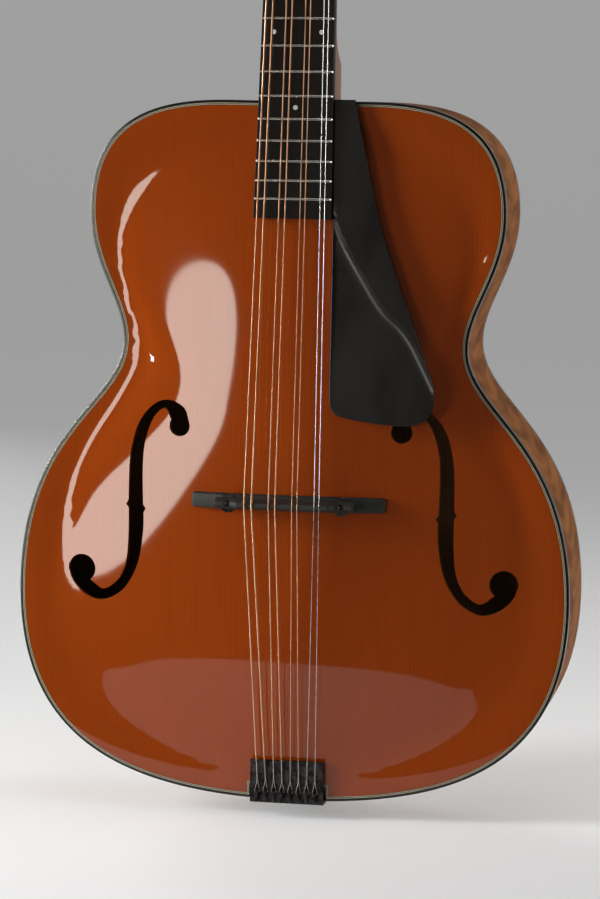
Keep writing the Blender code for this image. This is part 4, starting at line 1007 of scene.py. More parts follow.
class Effect:
    """Shader node groups that several finishes share, each built once."""

    @staticmethod
    @cache
    def grain() -> Tree:
        """Straight grain along Z with fine year lines, wander, cross silk and slow shading.

        Returns:
            The group's tree.
        """
        group = Group("wood_grain", ("Color", "Height"), Vector=(0.0, 0.0, 0.0), Early=(0.5, 0.5, 0.5, 1.0),
                      Late=(0.2, 0.2, 0.2, 1.0), Lines=700.0, Wander=0.004, Silk=0.1, Shade=0.15, Mirror=0.0)
        ins, vector = group.ins, group.ins["Vector"]
        x, _y, z = group.split(vector)
        difference = group.minus(group.maths("ABSOLUTE", x), x)
        across = group.plus(x, group.times(difference, ins["Mirror"]))
        bend = group.minus(group.noise(vector, 7.0, 1.0), 0.5)
        across = group.plus(across, group.times(bend, ins["Wander"]))
        drift = group.noise(group.vector(group.times(across, 55.0), 0.0, group.times(z, 1.5)), 1.0, 3.0, 0.6)
        years = group.plus(group.times(across, ins["Lines"]), group.times(drift, 5.0))
        wave = group.maths("SINE", group.times(years, FULL_TURN))
        line = group.maths("POWER", group.remap(wave, -1.0, 1.0), 2.2)
        broken = group.noise(group.stretch(vector, (300.0, 300.0, 14.0)), 1.0, 2.0)
        line = group.times(line, group.remap(broken, 0.25, 0.7, 0.45, 1.0))
        line = group.times(line, group.remap(drift, 0.3, 0.7, 0.55, 1.0))
        colour = group.blend(line, ins["Early"], ins["Late"])
        fibre = group.noise(group.stretch(vector, (70.0, 70.0, 900.0)), 1.0, 2.0)
        silk = group.times(group.remap(fibre, 0.45, 0.75), ins["Silk"])
        colour = group.blend(silk, colour, ins["Early"], "SCREEN")
        shade = group.times(group.remap(group.noise(vector, 9.0, 2.0), 0.35, 0.7), ins["Shade"])
        return group.give(Color=group.blend(shade, colour, ins["Late"]), Height=group.minus(1.0, line))

    @staticmethod
    @cache
    def flame() -> Tree:
        """Curly figure: soft bands across grain that runs along Z, over fine pores.

        Returns:
            The group's tree.
        """
        group = Group("curly_figure", ("Color",), Vector=(0.0, 0.0, 0.0), Pale=(0.5, 0.3, 0.2, 1.0),
                      Dark=(0.3, 0.15, 0.08, 1.0), Bands=130.0, Slant=0.12, Depth=0.7)
        ins, vector = group.ins, group.ins["Vector"]
        x, y, z = group.split(vector)
        along = group.plus(z, group.times(group.maths("ABSOLUTE", x), ins["Slant"]))
        bend = group.minus(group.noise(vector, 16.0, 2.0), 0.5)
        along = group.plus(along, group.times(bend, 0.012))
        bands = group.vector(group.times(x, 22.0), group.times(y, 22.0), group.times(along, ins["Bands"]))
        curl = group.remap(group.noise(bands, 1.0, 1.5, 0.45), 0.36, 0.66)
        colour = group.blend(group.times(curl, ins["Depth"]), ins["Pale"], ins["Dark"])
        pores = group.noise(group.stretch(vector, (900.0, 900.0, 40.0)), 1.0, 2.0, 0.6)
        speck = group.times(group.remap(pores, 0.5, 0.78), 0.35)
        return group.give(Color=group.blend(speck, colour, ins["Dark"]))

    @staticmethod
    @cache
    def mottle() -> Tree:
        """Slight unevenness: a colour drift, a roughness drift and fine bumps.

        Returns:
            The group's tree.
        """
        group = Group("uneven_surface", ("Color", "Roughness", "Height"), Vector=(0.0, 0.0, 0.0),
                      Base=(0.5, 0.5, 0.5, 1.0), Drift=(0.6, 0.6, 0.6, 1.0), Amount=0.3, Roughness=0.4,
                      Spread=0.1, Size=60.0)
        ins = group.ins
        scaled = group.stretch(ins["Vector"], (ins["Size"], ins["Size"], ins["Size"]))
        slow = group.remap(group.noise(scaled, 1.0, 3.0), 0.35, 0.7)
        drift = group.times(group.minus(slow, 0.5), ins["Spread"])
        return group.give(Color=group.blend(group.times(slow, ins["Amount"]), ins["Base"], ins["Drift"]),
                          Roughness=group.plus(ins["Roughness"], drift, clamp=True),
                          Height=group.noise(scaled, 14.0, 2.0))

    @staticmethod
    @cache
    def wear() -> Tree:
        """Mask of bright rubbed edges and small scuffs, from the surface's own bends.

        Returns:
            The group's tree.
        """
        group = Group("rubbed_edges", ("Mask",), Vector=(0.0, 0.0, 0.0), Edge=0.6, Scuffs=0.15)
        ins, vector = group.ins, group.ins["Vector"]
        bends = group.node("ShaderNodeNewGeometry").outputs["Pointiness"]
        edge = group.times(group.remap(bends, 0.52, 0.6), ins["Edge"])
        breakup = group.remap(group.noise(vector, 260.0, 4.0, 0.7), 0.4, 0.65)
        scuff = group.times(group.remap(group.noise(vector, 90.0, 5.0, 0.75), 0.62, 0.72), ins["Scuffs"])
        return group.give(Mask=group.plus(group.times(edge, breakup), scuff, clamp=True))

    @staticmethod
    @cache
    def winding() -> Tree:
        """Fine wraps of a wound string, on a distance along the string, as a height and as painted groove
        shade.

        Returns:
            The group's tree.
        """
        group = Group("string_wraps", ("Height", "Groove"), Along=0.0, Wraps=3300.0)
        phase = group.maths("FRACT", group.times(group.ins["Along"], group.ins["Wraps"]))
        bulge = group.maths("SINE", group.times(phase, HALF_TURN))
        # The groove output is painted shade: it darkens the colour in the hollows between wraps.
        return group.give(Height=bulge, Groove=group.remap(bulge, 0.15, 0.5, 1.0, 0.0))


class Surface(Graph):
    """Graph of one material round its main shader."""

    def __init__(self, material: bpy.types.Material) -> None:
        """Keeps the material's tree and its shader."""
        super().__init__(material.node_tree)
        self.shader = self.tree.nodes["Principled BSDF"]

    def put(self, values: dict[str, object]) -> None:
        """Feeds inputs of the shader, by name."""
        for label, value in values.items():
            self.feed(value, self.shader.inputs[label])

    def coordinates(self, kind: str = "Object") -> Socket:
        """Texture coordinates of the piece."""
        return self.node("ShaderNodeTexCoord").outputs[kind]

    def use(self, tree: Tree, **values: object) -> bpy.types.NodeOutputs:
        """Places a shared effect with its own values.

        Args:
            tree: The effect.
            values: Its inputs, by name.

        Returns:
            The outputs of the placed group.
        """
        placed = self.node("ShaderNodeGroup", node_tree=tree)
        for label, value in values.items():
            self.feed(value, placed.inputs[label])
        return placed.outputs

    def emboss(self, height: Socket, strength: float, depth: float) -> None:
        """Turns a height into the shader's normal.

        Args:
            height: The height, 0 to 1.
            strength: Strength of the bump.
            depth: Depth of the bump in metres.
        """
        bump = self.node("ShaderNodeBump")
        bump.inputs["Strength"].default_value = strength
        bump.inputs["Distance"].default_value = depth
        self.join(height, bump.inputs["Height"])
        self.put({"Normal": bump.outputs["Normal"]})


@dataclass(frozen=True)
class Finish:
    """A surface: its colour, its shine and the record's slot that it belongs to."""

    name: str
    slot: str
    colour: Colour
    roughness: float = 0.4
    metallic: float = 0.0
    coat: float = 0.0
    coat_roughness: float = 0.05
    specular: float = 0.5

    def material(self) -> bpy.types.Material:
        """Material of the finish, made once.

        Returns:
            The material.
        """
        made = bpy.data.materials.get(self.name)
        if made is None:
            made = bpy.data.materials.new(self.name)
            made.use_nodes = True
            made.diffuse_color = (*self.colour, 1)
            surface = Surface(made)
            surface.put({"Base Color": (*self.colour, 1), "Roughness": self.roughness,
                         "Metallic": self.metallic, "Coat Weight": self.coat,
                         "Coat Roughness": self.coat_roughness, "Specular IOR Level": self.specular})
            self.dress(surface)
        return made

    def dress(self, surface: Surface) -> None:
        """Adds the finish's own detail to a material's surface.

        Args:
            surface: The material's surface.
        """
        raise NotImplementedError


@dataclass(frozen=True)
class StraightGrain(Finish):
    """Wood with straight grain along Z."""

    late: Colour = (0.1, 0.1, 0.1)
    lines: float = 700.0
    wander: float = 0.004
    silk: float = 0.1
    shade: float = 0.15
    mirror: float = 0.0
    relief: float = 0.0
    relief_strength: float = 0.5

    def dress(self, surface: Surface) -> None:
        """Grain lines as colour and, where the wood is open, as relief.

        Args:
            surface: The material's surface.
        """
        grain = surface.use(
            Effect.grain(), Vector=surface.coordinates(), Early=(*self.colour, 1), Late=(*self.late, 1),
            Lines=self.lines, Wander=self.wander, Silk=self.silk, Shade=self.shade, Mirror=self.mirror)
        surface.put({"Base Color": grain["Color"]})
        if self.relief:
            surface.emboss(grain["Height"], self.relief_strength, self.relief)


@dataclass(frozen=True)
class CurlyGrain(Finish):
    """Figured wood; the figure crosses grain that runs along Z, or along a strip's length."""

    dark: Colour = (0.1, 0.1, 0.1)
    bands: float = 130.0
    slant: float = 0.12
    depth: float = 0.7
    strip: bool = False

    def dress(self, surface: Surface) -> None:
        """Bands of figure; a bent strip reads them from its length and width.

        Args:
            surface: The material's surface.
        """
        vector = surface.coordinates()
        if self.strip:
            length, width, _none = surface.split(surface.coordinates("UV"))
            vector = surface.vector(width, 0.0, length)
        figure = surface.use(Effect.flame(), Vector=vector, Pale=(*self.colour, 1), Dark=(*self.dark, 1),
                             Bands=self.bands, Slant=self.slant, Depth=self.depth)
        surface.put({"Base Color": figure["Color"]})


@dataclass(frozen=True)
class Uneven(Finish):
    """Plain material with slight drift in colour and shine, and a fine tooth."""

    drift: Colour = (0.1, 0.1, 0.1)
    amount: float = 0.3
    spread: float = 0.12
    size: float = 60.0
    relief: float = 0.00002
    relief_strength: float = 0.25
    stretch: tuple[float, float, float] = (1.0, 1.0, 1.0)

    def dress(self, surface: Surface) -> None:
        """Drift and tooth.

        Args:
            surface: The material's surface.
        """
        vector = surface.stretch(surface.coordinates(), self.stretch)
        skin = surface.use(Effect.mottle(), Vector=vector, Base=(*self.colour, 1), Drift=(*self.drift, 1),
                           Amount=self.amount, Roughness=self.roughness, Spread=self.spread, Size=self.size)
        surface.put({"Base Color": skin["Color"], "Roughness": skin["Roughness"]})
        surface.emboss(skin["Height"], self.relief_strength, self.relief)


@dataclass(frozen=True)
class WornMetal(Finish):
    """Metal with rubbed edges and a slight drift in shine."""

    metallic: float = 1.0
    rubbed: Colour = (0.5, 0.5, 0.5)
    edge: float = 0.5
    scuffs: float = 0.1
    spread: float = 0.12
    size: float = 180.0

    def dress(self, surface: Surface) -> None:
        """Rubbed edges over the plating.

        Args:
            surface: The material's surface.
        """
        vector = surface.coordinates()
        skin = surface.use(Effect.mottle(), Vector=vector, Base=(*self.colour, 1), Drift=(*self.colour, 1),
                           Amount=0.0, Roughness=self.roughness, Spread=self.spread, Size=self.size)
        worn = surface.use(Effect.wear(), Vector=vector, Edge=self.edge, Scuffs=self.scuffs)
        colour = surface.blend(worn["Mask"], skin["Color"], (*self.rubbed, 1))
        surface.put({"Base Color": colour, "Roughness": skin["Roughness"]})


@dataclass(frozen=True)
class WoundWire(Finish):
    """Wound string: wraps across its length, with painted shade darkening the grooves."""

    metallic: float = 1.0
    # Colour of the painted shade in the grooves between wraps.
    groove: Colour = (0.1, 0.1, 0.1)
    wraps: float = 3300.0
    relief: float = 0.00008
    relief_strength: float = 0.6

    def dress(self, surface: Surface) -> None:
        """Wraps from the string's own length; the grooves get painted shade.

        Args:
            surface: The material's surface.
        """
        along = surface.split(surface.coordinates())[2]
        wraps = surface.use(Effect.winding(), Along=along, Wraps=self.wraps)
        # Painted shade: the colour darkens towards the groove colour between the wraps.
        colour = surface.blend(wraps["Groove"], (*self.colour, 1), (*self.groove, 1))
        surface.put({"Base Color": colour})
        surface.emboss(wraps["Height"], self.relief_strength, self.relief)


SPRUCE = StraightGrain(
    "amber_spruce", "spruce_top", srgb(152, 62, 6), 0.5, coat=1.0, coat_roughness=0.04,
    late=srgb(128, 49, 4), lines=680.0, wander=0.002, silk=0.05, shade=0.3, mirror=1.0, specular=0.0)
HOLE_WOOD = StraightGrain("cut_spruce_edge", "spruce_top", srgb(150, 88, 40), 0.5, late=srgb(104, 56, 22),
                          lines=500.0, silk=0.05, specular=0.2)
RIB_MAPLE = CurlyGrain("figured_ribs", "figured_maple", srgb(166, 108, 62), 0.6, dark=srgb(112, 68, 38),
                       bands=95.0, slant=0.25, depth=0.9, strip=True, specular=0.05)
BACK_MAPLE = CurlyGrain("figured_back", "figured_maple", srgb(164, 104, 58), 0.42, coat=0.9,
                        dark=srgb(108, 58, 26), bands=95.0, slant=0.22, depth=0.85, specular=0.1)
NECK_WOOD = CurlyGrain("neck_maple", "neck_wood", srgb(140, 84, 48), 0.45, coat=0.4, coat_roughness=0.2,
                       dark=srgb(98, 52, 28), bands=80.0, slant=0.05, depth=0.4, specular=0.1)
EBONY = StraightGrain("ebony", "ebony", srgb(25, 20, 17), 0.42, late=srgb(13, 11, 10), lines=1500.0,
                      wander=0.006, silk=0.04, shade=0.4, relief=0.00003, specular=0.15)
BOARD_EBONY = StraightGrain("fingerboard_ebony", "ebony", srgb(27, 23, 20), 0.45, late=srgb(14, 12, 10),
                            lines=1700.0, wander=0.004, silk=0.05, shade=0.35, relief=0.00003, specular=0.12)
GUARD_EBONY = Uneven("guard_ebony", "ebony", srgb(15, 14, 13), 0.3, drift=srgb(25, 24, 22), amount=0.35,
                     spread=0.10, size=45.0, relief=0.00004, stretch=(1.0, 1.0, 0.35), specular=0.32)
BINDING = Uneven("black_binding", "black_trim", srgb(18, 17, 16), 0.3, coat=0.4, drift=srgb(28, 26, 24),
                 size=40.0, specular=0.2)
PALE_LINE = Uneven("pale_purfling", "purfling", srgb(176, 166, 140), 0.45, coat=0.7,
                   drift=srgb(158, 146, 118), amount=0.4, specular=0.1)
DARK_LINE = Uneven(
    "dark_purfling", "purfling", srgb(16, 13, 11), 0.4, coat=0.7, drift=srgb(28, 22, 18), specular=0.1)
BARE_WOOD = StraightGrain("bare_inner_wood", "inner_wood", srgb(164, 126, 84), 0.75, late=srgb(128, 92, 56),
                          lines=500.0, silk=0.15, relief=0.00005, specular=0.2)
BLACK_METAL = WornMetal("black_plated_metal", "black_metal", srgb(27, 26, 26), 0.32,
                        rubbed=srgb(130, 128, 126), edge=0.45, scuffs=0.08)
NICKEL = WornMetal("nickel", "steel", srgb(206, 202, 194), 0.24, rubbed=srgb(228, 226, 220),
                   edge=0.4)
PLAIN_STEEL = WornMetal("plain_string_steel", "steel", srgb(206, 203, 198), 0.28,
                        rubbed=srgb(226, 224, 220), edge=0.0, scuffs=0.05)
# The groove colour here is painted shade between the wraps.
BRONZE_WIRE = WoundWire("bronze_winding", "bronze", srgb(222, 172, 132), 0.3, groove=srgb(122, 78, 50))
BONE = Uneven("bone", "bone", srgb(226, 216, 190), 0.35, drift=srgb(204, 190, 158), amount=0.5, size=120.0)
PEARL = Uneven("pearl_dot", "bone", srgb(222, 222, 214), 0.25, coat=0.6, drift=srgb(188, 196, 198),
               amount=0.8, size=700.0)
LOOP_STEEL = WornMetal("loop_wire", "steel", srgb(170, 166, 160), 0.35,
                       rubbed=srgb(210, 208, 204), edge=0.2)


# Sub-assemblies


class Assembly:
    """Part of the instrument that builds and dresses its own pieces."""

    def build(self) -> None:
        """Builds every piece of the sub-assembly."""
        raise NotImplementedError

    @staticmethod
    def settle(piece: Piece, body: str, *nodes: str) -> None:
        """Sets the body that a finished piece rides on and the nodes that it stands for.

        Args:
            piece: The piece.
            body: Its body.
            nodes: Frame nodes that it replaces.
        """
        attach(piece, body)
        if nodes:
            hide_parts(*nodes)
        log.info("%s: %d faces, rides on %s", piece.name, len(piece.data.polygons), body)

    def piece(self, shape: Shape, name: str, finishes: Sequence[Finish], body: str, *nodes: str,
              crease: float = 35.0, bevel: float = 0.0) -> None:
        """Builds a piece from its shape and settles it.

        Args:
            shape: The shape.
            name: Name of the piece.
            finishes: Its finishes, by number.
            body: The body that it rides on.
            nodes: Frame nodes that it replaces.
            crease: Angle in degrees above which an edge stays sharp.
            bevel: Width of the rounding along its sharp edges, or 0.
        """
        self.settle(shape.build(name, finishes, crease=crease, bevel=bevel), body, *nodes)

    @staticmethod
    def dress_node(node: str, finish: Finish) -> None:
        """Gives a frame node that stays a finish.

        Args:
            node: Name of the node.
            finish: Its finish.
        """
        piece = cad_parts[node]
        piece.data.materials.clear()
        piece.data.materials.append(finish.material())
        log.info("%s: kept from the frame, dressed as %s", node, finish.name)


@dataclass
class SoundHole:
    """F-shaped hole of the soundboard, measured from a line near the bridge."""

    eye: Flat = (0.0719, 0.0536)
    eye_radius: float = 0.0068
    eye_angles: Flat = (32.0, -195.0)
    lobe: Flat = (0.1378, -0.0423)
    lobe_radius: float = 0.0092
    lobe_angles: Flat = (231.0, -5.0)
    round_steps: int = 40
    flow_steps: int = 5
    nick: float = 0.0018
    below_bridge: float = 0.007
    head: tuple[Flat, ...] = (
        (0.0682, 0.0641), (0.0743, 0.0687), (0.0808, 0.0699), (0.0878, 0.0679), (0.0948, 0.0618),
        (0.1000, 0.0537), (0.1032, 0.0437), (0.1054, 0.0298), (0.1060, 0.0040))
    tail: tuple[Flat, ...] = ((0.1058, -0.0010), (0.1059, -0.0180), (0.1070, -0.0330), (0.1095, -0.0421),
                              (0.1145, -0.0498), (0.1231, -0.0550))
    low: tuple[Flat, ...] = (
        (0.1436, -0.0515), (0.1353, -0.0594), (0.1241, -0.0625), (0.1119, -0.0567), (0.1044, -0.0477),
        (0.0994, -0.0367), (0.0970, -0.0256), (0.0956, -0.0126), (0.0957, -0.0035))
    rise: tuple[Flat, ...] = ((0.0959, 0.0015), (0.0964, 0.0182), (0.0961, 0.0340), (0.0946, 0.0440),
                              (0.0917, 0.0535), (0.0878, 0.0605), (0.0818, 0.0644))

    def outline(self, side: Side) -> list[Flat]:
        """Closed smooth outline with its two nicks.

        Args:
            side: Side of the soundboard.

        Returns:
            The points, clockwise on the treble side.
        """
        eye = arc(self.eye, self.eye_radius, *self.eye_angles, self.round_steps)
        lobe = arc(self.lobe, self.lobe_radius, *self.lobe_angles, self.round_steps)
        over = flowing([eye[-1], *self.head], self.flow_steps)[1:]
        under = flowing([*self.tail, lobe[0]], self.flow_steps)[:-1]
        back = flowing([lobe[-1], *self.low], self.flow_steps)[1:]
        up = flowing([*self.rise, eye[0]], self.flow_steps)[:-1]
        nick_out = (self.tail[0][0] + self.nick, (self.head[-1][1] + self.tail[0][1]) / 2)
        nick_in = (self.rise[0][0] - self.nick, (self.low[-1][1] + self.rise[0][1]) / 2)
        points = [*eye, *over, nick_out, *under, *lobe, *back, nick_in, *up]
        middle = LAYOUT.bridge - self.below_bridge
        return [(side.value * x, middle + z) for x, z in points]


@dataclass
class Soundbox(Assembly):
    """Carved plates, bent sides and the edge work round them."""

    top_edge: float = 0.0034
    back_edge: float = 0.0018
    binding_width: float = 0.00175
    top_binding_depth: float = 0.006
    back_binding_depth: float = 0.005
    binding_round: float = 0.0006
    binding_steps: int = 4
    back_height: float = 0.0147
    thickness: float = 0.0042
    deepest: float = -0.004
    rib_thickness: float = 0.0022
    rib_apart: float = 0.00015
    figure_shift: float = 0.31
    pitch: float = 0.006
    inlay_half: float = 0.025
    inlay_top: float = 0.0098
    inlay_rise: float = 0.0019
    inlay_depth: float = 0.0036
    inlay_round: float = 0.0012
    strip_depth: float = 0.0012
    inner_nodes: tuple[str, ...] = (
        "neck_block", "tail_block", "top_lining", "back_lining", "tone_bar_bass", "tone_bar_treble")
    strips: tuple[tuple[float, float, int], ...] = (
        (0.00178, 0.00226, 0), (0.00226, 0.00262, 1), (0.00262, 0.00310, 0), (0.00310, 0.00338, 1))

    def __post_init__(self) -> None:
        """Sets the arch of each plate."""
        self.top_arch = Arching(OUTLINE.line(self.top_edge))
        self.back_arch = Arching(OUTLINE.line(self.back_edge), height=self.back_height)

    def step(self, distance: float) -> tuple[float, float]:
        """Half width and height of the edge's step round the tail inlay at an inset."""
        spare = LAYOUT.gap + max(0.0, distance - self.binding_width)
        return self.inlay_half + spare, self.inlay_top + spare

    def build(self) -> None:
        """Builds the body."""
        self.plate("carved_soundboard", SPRUCE, self.top_arch, -1.0,
                   [SoundHole().outline(side) for side in Side], "soundboard")
        self.plate("carved_back", BACK_MAPLE, self.back_arch, 1.0, [], "back")
        for side in Side:
            self.ribs(side)
        self.top_binding()
        self.back_binding()
        self.purfling()
        self.tail_inlay()
        for node in self.inner_nodes:
            self.dress_node(node, BARE_WOOD)

    def plate(self, name: str, finish: Finish, arch: Arching, outward: float,
              holes: list[list[Flat]], node: str) -> None:
        """Builds one carved plate with its own surface normals.

        Args:
            name: Name of the piece.
            finish: Finish of its face.
            arch: Its arch.
            outward: Direction along Y of its face.
            holes: Its sound holes.
            node: Frame node that it replaces.
        """
        front_plate = outward < 0
        if front_plate:
            edge = OUTLINE.stepped_line(self.top_edge, *self.step(self.top_edge))
        else:
            edge = OUTLINE.line(self.back_edge)
        flat, triangles, rims = cut_sheet(edge, holes, self.pitch)
        x, z = flat[:, 0], flat[:, 1]
        level = arch.level(x, z)
        across, along = arch.slopes(x, z)
        plane = np.full(len(flat), LAYOUT.rim) if front_plate else np.array([LAYOUT.back(up) for up in z])
        tilt = 0.0 if front_plate else LAYOUT.back(0.0) - LAYOUT.back(1.0)
        face = np.stack((x, plane + outward * level, z), axis=1)
        rear = np.stack((x, plane + outward * np.maximum(level - self.thickness, self.deepest), z), axis=1)
        normals = np.stack((-across, np.full(len(flat), outward), -along + outward * tilt), axis=1)
        normals /= np.linalg.norm(normals, axis=1)[:, None]
        flipped = [triangle[::-1] for triangle in triangles]
        shape = Shape()
        shape.add(face, triangles if front_plate else flipped, 0)
        shape.add(rear, flipped if front_plate else triangles, 1)
        own = [*normals, *(-normals)]
        for rim in rims[1:]:
            own += self.hole_wall(shape, flat[rim], face[rim], rear[rim])
        made = shape.build(name, (finish, BARE_WOOD, HOLE_WOOD), outward=False)
        made.data.normals_split_custom_set_from_vertices([tuple(normal) for normal in own])
        self.settle(made, "body", node)

    @staticmethod
    def hole_wall(shape: Shape, flat: np.ndarray, face: np.ndarray, rear: np.ndarray) -> list[np.ndarray]:
        """Adds the wall of a sound hole.

        Args:
            shape: The plate's shape.
            flat: The hole's rim in the flat.
            face: The rim on the plate's face.
            rear: The rim on its inner side.

        Returns:
            A normal for each point, into the hole.
        """
        count = len(flat)
        after = np.roll(flat, -1, axis=0)
        turn = float(np.sum(flat[:, 0] * after[:, 1] - after[:, 0] * flat[:, 1]))
        along = after - np.roll(flat, 1, axis=0)
        along /= np.linalg.norm(along, axis=1)[:, None]
        right = np.stack((along[:, 1], np.zeros(count), -along[:, 0]), axis=1) * (1 if turn < 0 else -1)
        faces = []
        for step in range(count):
            other = (step + 1) % count
            quad = (step, count + step, count + other, other)
            faces.append(quad if turn < 0 else quad[::-1])
        shape.add([*face, *rear], faces, 2)
        return [*right, *right]

    def ribs(self, side: Side) -> None:
        """Builds one bent side, with its length and width as texture coordinates.

        Args:
            side: The side.
        """
        outer = OUTLINE.full()[:OUTLINE.spaces + 1]
        inner = inset(OUTLINE.full(), self.rib_thickness)[:OUTLINE.spaces + 1]
        travelled = [0.0]
        for (ax, az), (bx, bz) in zip(outer, outer[1:]):
            travelled.append(travelled[-1] + hypot(bx - ax, bz - az))
        loops = []
        for (x, z), (near_x, near_z) in zip(outer, inner):
            x, near_x = (side.value * max(place, self.rib_apart) for place in (x, near_x))
            front_y = LAYOUT.rim + self.top_binding_depth
            rear_y = LAYOUT.back(z) - self.back_binding_depth
            loops.append(
                [(x, front_y, z), (near_x, front_y, near_z), (near_x, rear_y, near_z), (x, rear_y, z)])
        made = Shape().skin(loops).build(f"bent_side_{side.word}", (RIB_MAPLE,))
        sheet = made.data.uv_layers.new(name="strip")
        shift = self.figure_shift if side is Side.BASS else 0.0
        for corner in made.data.loops:
            where = made.data.vertices[corner.vertex_index]
            row = corner.vertex_index // len(loops[0])
            sheet.data[corner.index].uv = (travelled[row] + shift, where.co.y)
        self.settle(made, "body", f"rib_{side.word}")

    def rounded_section(self, depth: float) -> list[Flat]:
        """Section of a binding as inset and depth, with its outer corner rounded."""
        corner = rounded(0.0, 0.0, self.binding_round, self.binding_steps)
        return [(0.0, depth), *corner, (self.binding_width, 0.0), (self.binding_width, depth)]

    @staticmethod
    def at_tail(half: float) -> list[Flat]:
        """Points of the body's edge within a half width of the tail's middle."""
        return [place for place in OUTLINE.line(0.0) if abs(place[0]) < half and place[1] < LAYOUT.centre]

    def top_binding(self) -> None:
        """Builds the front binding, open where the tail inlay sits."""
        shape = Shape()
        half, _top = self.step(0.0)
        section = self.rounded_section(self.top_binding_depth)
        lines = [OUTLINE.open_line(distance, half) for distance, _depth in section]
        shape.skin([[(x, LAYOUT.rim + depth, z) for (x, z), (_distance, depth) in zip(places, section)]
                    for places in zip(*lines)])
        low, high = LAYOUT.rim + self.inlay_depth + LAYOUT.gap, LAYOUT.rim + self.top_binding_depth
        outer = [lines[0][-1], *self.at_tail(half), lines[0][0]]
        shape.skin([[(x, low, z), (x, high, z), (x, high, z + self.binding_width),
                     (x, low, z + self.binding_width)] for x, z in outer])
        self.piece(shape, "front_binding", (BINDING,), "body", "top_binding", crease=50)

    def back_binding(self) -> None:
        """Builds the rear binding."""
        section = self.rounded_section(self.back_binding_depth)
        lines = [OUTLINE.line(distance) for distance, _depth in section]
        loops = [[(x, LAYOUT.back(z) - depth, z) for (x, z), (_distance, depth) in zip(places, section)]
                 for places in zip(*lines)]
        self.piece(Shape().skin(loops, closed=True), "rear_binding", (BINDING,), "body", "back_binding",
                   crease=50)

    def purfling(self) -> None:
        """Builds the four fine strips inside the front binding."""
        shape = Shape()
        for near, far, finish in self.strips:
            outer, inner = (OUTLINE.stepped_line(inset_by, *self.step(inset_by)) for inset_by in (near, far))
            deep = self.strip_depth
            shape.skin([[(x, LAYOUT.rim - self.top_arch.at(x, z) + down, z)
                         for (x, z), down in ((a, 0.0), (b, 0.0), (b, deep), (a, deep))]
                        for a, b in zip(outer, inner)], finish, closed=True)
        self.piece(shape, "purfling_lines", (PALE_LINE, DARK_LINE), "body", "top_purfling")

    def tail_inlay(self) -> None:
        """Builds the ebony inlay that the tailpiece bears on, rounded over the tail's edge."""
        top = LAYOUT.bottom + self.inlay_top
        low, high = LAYOUT.rim + self.inlay_depth, LAYOUT.rim - self.inlay_rise
        loops = []
        for x, z in sorted(self.at_tail(self.inlay_half + LAYOUT.gap)):
            x = max(-self.inlay_half, min(self.inlay_half, x))
            corner = rounded(z, high, self.inlay_round, self.binding_steps)
            loops.append([(x, low, z), *((x, y, up) for up, y in corner), (x, high, top), (x, low, top)])
        self.piece(Shape().skin(loops), "tail_inlay", (EBONY,), "body", "tail_saddle", crease=40)


